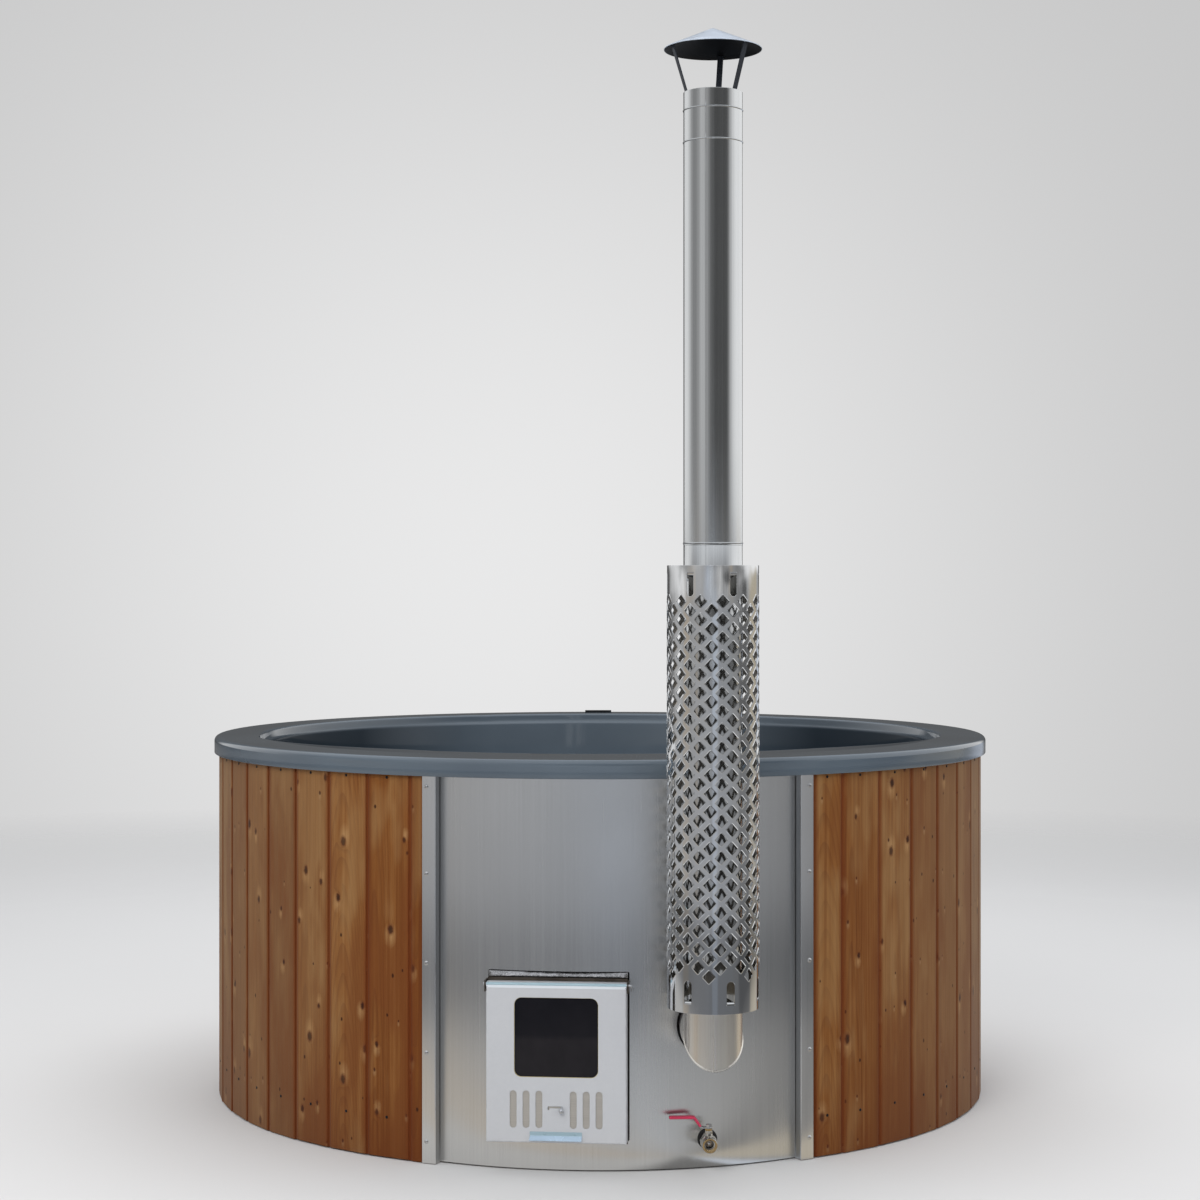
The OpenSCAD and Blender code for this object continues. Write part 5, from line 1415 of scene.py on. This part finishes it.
def near_hole(pts, margin):
    """True where a point lies in a diamond or slot grown by margin."""
    loop = offset(oriented(DIA, False), margin)
    res = np.zeros(len(pts), bool)
    z = pts[:, 1]
    tw = 3.5 * np.clip((ROW0 - z) / 0.820, 0, 1)
    jj = np.round((ROW0 - z) / ROW_P).astype(int)
    for dj in (-1, 0, 1):
        j = jj + dj
        zc = ROW0 - ROW_P * j
        twc = 3.5 * np.clip((ROW0 - zc) / 0.820, 0, 1)
        fi = (pts[:, 0] / arcm - CAM0 + VIEW_TURN + twc) / STEP
        for di in (0, 1):
            i = np.floor(fi).astype(int) + di
            ok = np.array([has_hole(int(a), int(b)) for a, b in zip(i, j)])
            if not ok.any():
                continue
            uc = (CAM0 + STEP * i - VIEW_TURN - twc) * arcm
            local = np.stack([pts[:, 0] - uc, z - zc], 1)
            hit = inside(loop, local)
            res |= hit & ok
    for s in slots:
        lp = offset(oriented(s, False), margin)
        mn, mx = lp.min(0), lp.max(0)
        sel = (pts[:, 0] > mn[0]) & (pts[:, 0] < mx[0]) & (z > mn[1]) & (z < mx[1])
        if sel.any():
            res[np.where(sel)[0]] |= inside(lp, pts[sel])
    return res


def seam_u(z):
    """The seam runs between the last and the first column at the back, dodging the hole tips."""
    j = (ROW0 - z) / ROW_P
    base = (CAM0 - STEP / 2 - VIEW_TURN - 3.5 * min(1.0, max(0.0, (ROW0 - z) / 0.820))) * arcm
    if -0.6 < j < ROWS - 0.4:
        return base + 0.0042 * math.cos(math.pi * j)
    return base


def make_guard():
    zs = [G0] + [ROW0 - ROW_P * j for j in range(ROWS, -2, -1)] + [1.335, G1]
    zs = sorted(set(round(z, 6) for z in zs))
    fine = []
    for a, b in zip(zs, zs[1:]):
        fine += [a, (a + b) / 2]
    fine.append(zs[-1])
    zs = fine
    full_u = 360 * arcm
    ang_n = 78
    lip_in = 0.0003
    left = [(seam_u(z), z) for z in zs]
    right = [(seam_u(z) + full_u, z) for z in zs]
    bot = [(left[0][0] + full_u * k / ang_n, G0) for k in range(1, ang_n)]
    topp = [(left[-1][0] + full_u * k / ang_n, G1) for k in range(1, ang_n)]
    outer = [left[0]] + bot + [right[0]] + right[1:-1] + [right[-1]] + topp[::-1] + [left[-1]] + left[1:-1][::-1]
    inner = [(u, min(max(z, G0 + lip_in), G1 - lip_in)) for u, z in outer]
    loops = [(outer, inner, None)]
    sink, lip = -0.0007, 0.0017
    for h in holes:
        h = oriented(h, False)
        loops.append((h, [tuple(p) for p in offset(h, lip)], sink))
    for s in slots:
        h = oriented(s, False)
        loops.append((h, [tuple(p) for p in offset(h, 0.0005)], 0.0003))
    pts, edges, offs = [], [], []
    for lp, o, d in loops:
        k, n = len(pts), len(o)
        pts += o
        edges += [(k + i, k + (i + 1) % n) for i in range(n)]
        offs.append((k, n))
    g = []
    for i in range(COLS * 3):
        for z in zs[1:-1]:
            a = CAM0 - STEP / 2 - VIEW_TURN + 360 * (i + 0.5) / (COLS * 3)
            g.append((a * arcm - 3.5 * min(1.0, max(0.0, (ROW0 - z) / 0.820)) * arcm, z))
    g = np.array(g)
    su = np.array([seam_u(z) for z in g[:, 1]])
    ok = (g[:, 0] > su + 0.002) & (g[:, 0] < su + full_u - 0.002) & ~near_hole(g, lip + 0.0012)
    pts += [tuple(p) for p in g[ok]]
    cv, ce, cf, ov, oe, of_ = delaunay_2d_cdt([Vector(p) for p in pts], edges, [], 0, 1e-9)
    cv = np.array([(v.x, v.y) for v in cv])
    tri = np.array([f for f in cf if len(f) == 3])
    mid = cv[tri].mean(1)
    keep = inside(inner, mid) & ~near_hole(mid, lip)
    # slots have a narrower lip, so their triangles are tested with it
    for s in slots:
        h = oriented(s, False)
        big, small = offset(h, lip), offset(h, 0.0005)
        keep |= inside(big, mid) & ~inside(small, mid) & inside(inner, mid)
    tri = tri[keep]
    a, b, c = cv[tri[:, 0]], cv[tri[:, 1]], cv[tri[:, 2]]
    flip = ((b[:, 0] - a[:, 0]) * (c[:, 1] - a[:, 1]) - (c[:, 0] - a[:, 0]) * (b[:, 1] - a[:, 1])) < 0
    tri[flip] = tri[flip][:, ::-1]
    back = {}
    for new, olds in enumerate(ov):
        for o in olds:
            back[o] = new
    nv, thick = len(cv), 0.001
    verts = [g_wrap(u, v, 0.0) for u, v in cv] + [g_wrap(u, v, thick) for u, v in cv]
    radial = [None] * (2 * nv)
    faces = [tuple(int(i) for i in t) for t in tri] + [tuple(int(i) + nv for i in t[::-1]) for t in tri]
    kinds = [1] * len(tri) + [-1] * len(tri)
    on_seam = lambda p: abs(p[0] - seam_u(p[1])) < 1e-6 or abs(p[0] - seam_u(p[1]) - full_u) < 1e-6
    for (lp, o, d), (k, n) in zip(loops, offs):
        f0 = len(verts)
        deep = 0.0002 if d is None else d
        verts += [g_wrap(u, v, deep) for u, v in lp]
        verts += [g_wrap(u, v, thick) for u, v in lp]
        for i in range(n):
            j = (i + 1) % n
            if d is None and on_seam(lp[i]) and on_seam(lp[j]) and abs(lp[i][1] - lp[j][1]) > 1e-6:
                continue
            ti, tj = back[k + i], back[k + j]
            faces += [(f0 + i, f0 + j, tj, ti), (f0 + n + i, f0 + n + j, f0 + j, f0 + i), (nv + ti, nv + tj, f0 + n + j, f0 + n + i)]
            kinds += [0, 0, -1]
    # merge the points on both sides of the seam
    key, remap, out = {}, [], []
    for p in verts:
        q = (round(p.x, 6), round(p.y, 6), round(p.z, 6))
        if q not in key:
            key[q] = len(out)
            out.append(p)
        remap.append(key[q])
    faces2, kinds2 = [], []
    for f, kd in zip(faces, kinds):
        f = [remap[i] for i in f]
        g2 = [f[i] for i in range(len(f)) if f[i] != f[i - 1]]
        if len(set(g2)) >= 3:
            faces2.append(tuple(g2))
            kinds2.append(kd)
    me = bpy.data.meshes.new("perforated_guard")
    me.from_pydata([tuple(p) for p in out], [], faces2)
    me.materials.append(M["guard"])
    me.materials.append(M["guard_in"])
    me.polygons.foreach_set("material_index", [1 if kd < 0 else 0 for kd in kinds2])
    me.polygons.foreach_set("use_smooth", [True] * len(me.polygons))
    me.update()
    normals = []
    for poly, kd in zip(me.polygons, kinds2):
        for vi in poly.vertices:
            if kd == 0:
                normals.append(tuple(poly.normal))
            else:
                p = out[vi]
                nrm = Vector((p.x - FLUE[0], p.y - FLUE[1], 0)).normalized()
                normals.append(tuple(nrm * kd))
    me.normals_split_custom_set(normals)
    ob = bpy.data.objects.new("perforated_guard", me)
    scene.collection.objects.link(ob)
    own(ob, "tub", ("heat_guard",))
    return ob


make_guard()

# the bent tabs that hold the guard off the pipe: curled in from the slot's end, a short foot along the pipe
for q in range(6):
    for up, z, rr in ((True, 1.3450, 0.0085), (False, 0.4098, 0.0060)):
        phi = (CAM0 + STEP * 4 * q - VIEW_TURN) if up else g_angle(4 * q, 0.462)
        sgn = -1 if up else 1
        path = [(GUARD_R - 0.0005, z - sgn * 0.0006)]
        path += [(GUARD_R - 0.0006 - rr + rr * math.cos(rad(a)), z + sgn * rr * math.sin(rad(a))) for a in range(0, 81, 10)]
        r0, z0 = path[-1]
        path += [(r0 + (FLUE_R + 0.0045 - r0) * f, z0 + sgn * 0.0045 * f) for f in (0.35, 0.7, 1.0)]
        z1 = path[-1][1]
        path += [(FLUE_R + 0.0026 - 0.0018 * math.sin(rad(a)), z1 + sgn * (0.0006 + 0.0018 - 0.0018 * math.cos(rad(a)))) for a in (30, 60, 90)]
        path += [(FLUE_R + 0.0008, z1 + sgn * 0.010)]
        pts3 = []
        for r, h in path:
            p = polar(phi, r, h)
            pts3.append(Vector((FLUE[0] + p.x, FLUE[1] + p.y, h)))
        side = Vector((math.cos(rad(phi)), math.sin(rad(phi)), 0))
        w0, w1 = (0.0071, 0.0071) if up else (0.0086, 0.0030)

        def tab_section(i, path=path, w0=w0, w1=w1):
            k = (GUARD_R - path[i][0]) / (GUARD_R - FLUE_R)
            w = w0 + (w1 - w0) * max(0.0, min(1.0, k))
            return [(-w, -0.0005), (w, -0.0005), (w + 0.0001, 0.0), (w, 0.0005), (-w, 0.0005), (-w - 0.0001, 0.0)]

        v, f = sweep(pts3, tab_section, up=side)
        outward(add("guard_tab_%s_%d" % ("top" if up else "foot", q), v, f, M["guard"], angle=40))

# ------------------------------------------------------------------ drain valve
VX, VY, VZ = 0.196, -1.014, 0.068


mm = 0.001
body_prof = [(9.6, -984.0), (15.2, -984.0), (15.6, -984.6), (15.6, -998.4), (16.2, -999.6), (16.4, -1000.6)]
body_prof += [(19 * math.cos(rad(a)), -1014 + 19 * math.sin(rad(a))) for a in range(32, -41, -8)]
body_prof += [(15.2, -1027.0), (15.0, -1028.6), (15.4, -1029.8), (16.6, -1030.4), (17.2, -1031.2), (17.2, -1045.6), (16.4, -1046.8), (15.8, -1047.0)]
face_prof = [(15.8, -1047.0), (14.6, -1047.05), (13.3, -1047.0), (12.4, -1046.4)]
# thread crests inside the outlet
thread = []
y = -1045.8
while y < -1034.2:
    thread += [(12.1, y), (12.95, y + 0.45), (12.95, y + 0.55), (12.1, y + 1.0)]
    y += 1.8
bore = [(12.1, -1033.2), (9.8, -1032.6), (9.6, -1031.8), (9.6, -1025.0), (12.9, -1018.0), (12.9, -1010.0), (9.6, -1003.0)]
prof = [(r * mm, y * mm) for r, y in body_prof + face_prof[1:] + thread + bore]
v, f = lathe(prof, 72, closed=True)
v = [(VX + x, z, VZ - yy) for x, yy, z in v]
vb = outward(add("ball_valve_body", v, f, [M["nickel"], M["brass"]], replaces=("valve_body",), angle=33))
vb.data.polygons.foreach_set("material_index", [1 if (math.hypot(p.center.x - VX, p.center.z - VZ) < 0.0162 and p.center.y < -1.0332) else 0 for p in vb.data.polygons])
# the hexagon behind
hexa = [(18.6 * math.cos(rad(60 * i)), 18.6 * math.sin(rad(60 * i))) for i in range(6)]
v, f = prism([(x * mm, z * mm) for x, z in hexa], -0.9975, -0.9835, lambda x, y, z: Vector((VX + x, y, VZ + z)))
nut = outward(add("valve_hexagon", v, f, M["nickel"]))
bevelled(nut, 0.0012, 3)
# packing tower
prof = [(4.1, 80.0), (9.6, 80.0), (9.4, 85.0), (8.8, 87.2), (8.5, 88.5), (8.5, 94.4), (8.0, 95.0), (4.1, 95.0)]
v, f = lathe([(r * mm, z * mm) for r, z in prof], 48, (VX, VY), closed=True)
outward(add("valve_tower", v, f, M["nickel"], angle=35))


def nut_z(name, r, z0, z1, bore, mat, body, node, turn=0):
    """Hexagon nut with its corners chamfered at both ends."""
    rows = [(0.93, z0), (1.0, z0 + 0.0006), (1.0, z1 - 0.0006), (0.93, z1)]
    n = 36
    verts = []
    for k, z in rows:
        for i in range(n):
            a = TAU * i / n + turn
            h = (i * 360 / n) % 60 - 30
            rr = min(r * math.cos(rad(30)) / math.cos(rad(h)), r * k if k < 1 else 9)
            verts.append((VX + rr * math.cos(a), VY + rr * math.sin(a), z))
    for z in (z0, z1):
        for i in range(n):
            a = TAU * i / n + turn
            verts.append((VX + bore * math.cos(a), VY + bore * math.sin(a), z))
    faces = [(q * n + i, q * n + (i + 1) % n, (q + 1) * n + (i + 1) % n, (q + 1) * n + i) for q in range(3) for i in range(n)]
    b0, b1 = 4 * n, 5 * n
    faces += [(i, (i + 1) % n, b0 + (i + 1) % n, b0 + i) for i in range(n)]
    faces += [(3 * n + i, 3 * n + (i + 1) % n, b1 + (i + 1) % n, b1 + i) for i in range(n)]
    faces += [(b0 + i, b0 + (i + 1) % n, b1 + (i + 1) % n, b1 + i) for i in range(n)]
    return outward(add(name, verts, faces, mat, body=body, replaces=(node,), angle=25))


nut_z("gland_hexagon", 0.0082, 0.095, 0.100, 0.00408, M["brass"], "tub", "gland_nut", 0.2)
nut_z("handle_hexagon", 0.0072, 0.1037, 0.1086, 0.00405, M["screw"], "valve_handle", "lever_nut", 0.5)

# lever strip and its dipped sleeve, level at the stem, ramp, level to the tip
LZ = 0.1006
mid = [(-9.0, 1.5), (-4, 1.5), (0, 1.5), (8, 1.5), (14.0, 1.5), (16.2, 1.9), (18.0, 3.2), (20.0, 5.8), (30.8, 21.2), (32.6, 23.6), (34.4, 24.5), (37.0, 24.5), (50, 24.5), (70, 24.5), (84, 24.5), (88, 24.5)]


def lever_path(pts):
    return [Vector((VX - x * mm, VY, LZ + z * mm)) for x, z in pts]


def strip_section(w, t, r, n=4):
    return [(x, y) for x, y in rounded_rect(w, t, r, 0, 0, n)]


def lever_sec(i):
    s = mid[i][0]
    w = 13.0
    if s < 0:
        w = 2 * math.sqrt(max(1.0, 81 - s * s)) if s > -9 else 3
    elif s < 9:
        w = max(13.0, 2 * math.sqrt(81 - s * s))
    if s > 86:
        w = 10.5
    return strip_section(w * mm, 3.0 * mm, 0.8 * mm)


v, f = sweep(lever_path(mid), lever_sec, up=(0, 1, 0))
outward(add("lever_arm", v, f, M["lever"], body="valve_handle", replaces=("valve_lever",), angle=40))
sl = [(18.9, 4.4), (20.0, 5.8), (23, 10.1), (27, 15.8), (30.8, 21.2), (32.6, 23.5), (34.6, 24.4), (37.4, 24.5), (45, 24.5), (58, 24.5), (72, 24.5), (82, 24.5), (87.2, 24.5), (88.8, 24.5), (89.4, 24.5)]


def sleeve_sec(i):
    s = sl[i][0]
    w, t = 17.0, 6.2
    if i == 0:
        w, t = 16.2, 5.4
    if s > 88.5:
        w, t = 15.2, 5.0
    if s > 89.2:
        w, t = 12.6, 3.2
    return strip_section(w * mm, t * mm, min(2.6, t / 2 - 0.1) * mm, 6)


v, f = sweep(lever_path(sl), sleeve_sec, up=(0, 1, 0))
outward(add("dipped_sleeve", v, f, M["red"], body="valve_handle", replaces=("lever_sleeve",), angle=50))

# rubber grommet with lips on both sides of the panel
pr = [(13.7, -981.0), (15.8, -981.6), (19.0, -980.6), (22.2, -978.2), (22.8, -976.6), (22.2, -975.2), (19.7, -974.6), (19.5, -971.0), (21.8, -970.0), (22.0, -968.0), (19.0, -958.0), (16.0, -955.0), (13.7, -955.0)]
v, f = lathe([(r * mm, y * mm) for r, y in pr], 72, closed=True)
v = [(VX + x, z, VZ - yy) for x, yy, z in v]
outward(add("pipe_grommet", v, f, M["grommet"], replaces=("panel_grommet",), angle=40))

# ------------------------------------------------------------------ floor, light and camera
def compass(tree, vec, stops):
    """Colour by azimuth: (degrees from -Y towards +X, grey or rgb) pairs with soft steps, from -180 to 180."""
    gr = tree.nodes.new("ShaderNodeTexGradient")
    gr.gradient_type = "RADIAL"
    tree.links.new(vec, gr.inputs[0])
    r = tree.nodes.new("ShaderNodeValToRGB")
    el = r.color_ramp.elements
    pts = sorted((((0.25 + a / 360) % 1.0, c) for a, c in stops), key=lambda p: p[0])
    while len(el) < len(pts):
        el.new(0.5)
    for e, (pos, c) in zip(el, pts):
        e.position = pos
        e.color = (c, c, c, 1) if not isinstance(c, tuple) else (*c, 1)
    tree.links.new(gr.outputs["Fac"], r.inputs["Fac"])
    return r.outputs["Color"]


TAN = (0.42, 0.37, 0.31)
SAND = (0.46, 0.41, 0.32)
SKY = (0.58, 0.64, 0.74)
# what the studio shows metal: below eye level, at eye level, and above it
LOW = [(-180, 0.06), (-138, 0.06), (-128, 0.20), (-113, 0.44), (-88, 0.40), (-83, TAN), (-71, TAN), (-63, 0.34), (-48, (0.385, 0.385, 0.39)), (-27, (0.37, 0.375, 0.385)), (-17, (0.37, 0.38, 0.395)),
       (-9, (0.32, 0.33, 0.35)), (-5, (0.46, 0.50, 0.56)), (3, (0.46, 0.50, 0.56)), (8, (0.31, 0.32, 0.34)), (40, (0.30, 0.31, 0.32)), (52, 0.28), (60, 0.27), (65, 0.12), (94, 0.12), (104, SAND),
       (126, SAND), (133, 0.3), (142, SKY), (151, SKY), (158, 0.10)]
LEVEL = [(-180, 0.10), (-150, 0.10), (-140, 0.42), (-117, 0.70), (-100, 0.95), (-86, 0.95), (-76, 0.50), (-64, TAN), (-52, TAN), (-47, 0.34), (-30, 0.40),
         (-20, SKY), (-10, (0.86, 0.92, 1.0)), (-4, 0.55), (0, 0.48), (9, 0.70), (14, 0.66), (20, 0.36), (32, 0.42), (42, TAN), (48, 0.30), (60, 0.22), (72, 0.20), (76, 0.09), (84, 0.10),
         (92, 0.36), (106, SAND), (130, SAND), (138, 0.40), (150, 0.40), (156, 0.12)]
HIGH = [(-180, 0.10), (-158, 0.10), (-150, 0.85), (-130, 0.95), (-113, 0.80), (-97, 0.36), (-76, 0.30), (-66, 0.36), (-52, 0.58), (-38, 0.55), (-26, 0.36), (-14, 0.17), (2, 0.09),
        (50, 0.09), (58, 0.26), (68, 0.62), (84, 0.92), (100, 1.0), (150, 1.0), (158, 0.10)]


def stage_material():
    """Pale floor. It melts into the backdrop with distance, and shows metal a quieter room than its own white."""
    t = Tree("studio_floor")
    n = t.noise(t.coord((0.8, 0.8, 0.8)), 1.0, 3.0, 0.5)
    f = t.noise(t.coord((60, 60, 60)), 1.0, 2.0, 0.5)
    t.set(Base_Color=t.mix(t.span(n, 0.3, 0.7), (0.660, 0.660, 0.662, 1), (0.670, 0.670, 0.672, 1)), Roughness=t.span(f, 0.3, 0.7, 0.80, 0.9), Specular_IOR_Level=0.05)
    r = t.vmath("LENGTH", t.coord())
    far = t.ramp(t.math("DIVIDE", r, 20.0), [(0.0, (0.30, 0.29, 0.28)), (0.065, (0.68, 0.665, 0.645)), (0.115, (0.62, 0.61, 0.595)), (0.158, (0.25, 0.255, 0.265)), (0.205, (0.25, 0.255, 0.265)), (0.29, (0.55, 0.555, 0.57)), (1.0, (0.56, 0.56, 0.56))])
    bands = compass(t.t, t.vmath("SUBTRACT", t.coord(), (0.196, -1.1155, 0.0)), LOW)
    seen = t.mix(1.0, far, t.mix(0.35, bands, (0.32, 0.32, 0.32, 1)), blend="MULTIPLY")
    glow = t.node("ShaderNodeEmission", Color=seen, Strength=1.9)
    lp = t.t.nodes.new("ShaderNodeLightPath")
    both = t.node("ShaderNodeMixShader", _0=lp.outputs["Is Glossy Ray"], _1=t.bsdf.outputs[0], _2=glow.outputs[0])
    fade = t.mix(lp.outputs["Is Glossy Ray"], t.span(r, 4.2, 8.0), t.span(r, 13.0, 22.0), kind="FLOAT")
    clear = t.node("ShaderNodeBsdfTransparent")
    end = t.node("ShaderNodeMixShader", _0=fade, _1=both.outputs[0], _2=clear.outputs[0])
    out = [nd for nd in t.t.nodes if nd.bl_idname == "ShaderNodeOutputMaterial"][0]
    t.t.links.new(end.outputs[0], out.inputs["Surface"])
    return t.mat


v, f = lathe([(r, 0.0) for r in (0.0, 1.5, 3.0, 5.0, 8.0, 14.0, 23.0)], 96)
me = bpy.data.meshes.new("studio_floor")
me.from_pydata(v, [], [q[::-1] for q in f])
me.materials.append(stage_material())
floor = bpy.data.objects.new("studio_floor", me)
scene.collection.objects.link(floor)
me.update()
if me.polygons[0].normal.z < 0:
    me.flip_normals()

world = bpy.data.worlds.new("studio")
scene.world = world
world.use_nodes = True
wt = world.node_tree
for nd in list(wt.nodes):
    wt.nodes.remove(nd)


def wn(kind, **kw):
    nd = wt.nodes.new(kind)
    for k, val in kw.items():
        s = nd.inputs[int(k[1:])] if k[0] == "_" else nd.inputs[k.replace("_", " ")]
        if isinstance(val, bpy.types.NodeSocket):
            wt.links.new(val, s)
        else:
            s.default_value = val
    return nd


tc = wt.nodes.new("ShaderNodeTexCoord")
sepw = wn("ShaderNodeSeparateXYZ", Vector=tc.outputs["Generated"])


def blend(f, a, b):
    nd = wt.nodes.new("ShaderNodeMix")
    nd.data_type = "RGBA"
    for i, val in ((0, f), (6, a), (7, b)):
        if isinstance(val, bpy.types.NodeSocket):
            wt.links.new(val, nd.inputs[i])
        else:
            nd.inputs[i].default_value = val
    return nd.outputs[2]


eye = wn("ShaderNodeMapRange", Value=sepw.outputs[2], _1=-0.0085, _2=-0.0055, _3=0.0, _4=1.0)
up = wn("ShaderNodeMapRange", Value=sepw.outputs[2], _1=0.0045, _2=0.0075, _3=0.0, _4=1.0)
el_mid = wn("ShaderNodeMapRange", Value=sepw.outputs[2], _1=0.38, _2=0.75, _3=0.0, _4=1.0)
room = blend(eye.outputs[0], compass(wt, tc.outputs["Generated"], LOW), compass(wt, tc.outputs["Generated"], LEVEL))
room = blend(up.outputs[0], room, compass(wt, tc.outputs["Generated"], HIGH))
room = blend(el_mid.outputs[0], room, (0.80, 0.82, 0.85, 1))
lp = wt.nodes.new("ShaderNodeLightPath")
aim = wt.nodes.new("ShaderNodeVectorMath")
aim.operation = "DOT_PRODUCT"
wt.links.new(tc.outputs["Generated"], aim.inputs[0])
aim.inputs[1].default_value = Vector((0.005, 1.0, 0.009)).normalized()
glow = aim.outputs["Value"]
for op, c in (("SUBTRACT", 1.0), ("MULTIPLY", 33.0), ("EXPONENT", 0.0), ("MULTIPLY", 0.265), ("ADD", 0.545)):
    nd = wn("ShaderNodeMath", _0=glow, _1=c)
    nd.operation = op
    glow = nd.outputs[0]
bg_cam = wn("ShaderNodeBackground", Color=(1.0, 1.0, 1.003, 1), Strength=glow)
bg_soft = wn("ShaderNodeBackground", Color=(0.97, 0.98, 1.0, 1), Strength=0.72)
bg_gloss = wn("ShaderNodeBackground", Color=room, Strength=1.0)
mix1 = wn("ShaderNodeMixShader", _0=lp.outputs["Is Glossy Ray"], _1=bg_soft.outputs[0], _2=bg_gloss.outputs[0])
mix2 = wn("ShaderNodeMixShader", _0=lp.outputs["Is Camera Ray"], _1=mix1.outputs[0], _2=bg_cam.outputs[0])
out = wt.nodes.new("ShaderNodeOutputWorld")
wt.links.new(mix2.outputs[0], out.inputs["Surface"])


def area(name, loc, target, size, power, colour=(1, 1, 1), gloss=False):
    d = bpy.data.lights.new(name, "AREA")
    d.shape = "RECTANGLE"
    d.size, d.size_y = size
    d.energy = power
    d.color = colour
    o = bpy.data.objects.new(name, d)
    o.location = loc
    o.rotation_euler = (Vector(target) - Vector(loc)).to_track_quat("-Z", "Y").to_euler()
    o.visible_glossy = gloss
    o.visible_camera = False
    scene.collection.objects.link(o)
    return o


area("key", (-2.2, -5.4, 4.0), (0, 0, 0.6), (3.0, 3.0), 165, (1.0, 0.985, 0.96))
area("fill", (3.2, -4.8, 2.6), (0, 0, 0.7), (3.0, 3.0), 42, (0.95, 0.97, 1.0))
area("top", (0.4, 0.8, 5.2), (0, 0, 0), (4.0, 4.0), 110)
area("back", (-0.5, 5.0, 3.2), (0, 0, 0.8), (3.0, 2.0), 22)

cam_data = bpy.data.cameras.new("camera")
cam_data.lens = 72
cam_data.sensor_width = 36
cam_data.sensor_fit = "HORIZONTAL"
cam_data.clip_end = 2000
cam_data.shift_y = -0.01475
cam = bpy.data.objects.new("camera", cam_data)
cam.location = (-0.3005, -6.3729, 1.323)
cam.rotation_euler = (math.pi / 2, 0, -math.atan2(0.3005, 6.3729))
scene.collection.objects.link(cam)
scene.camera = cam
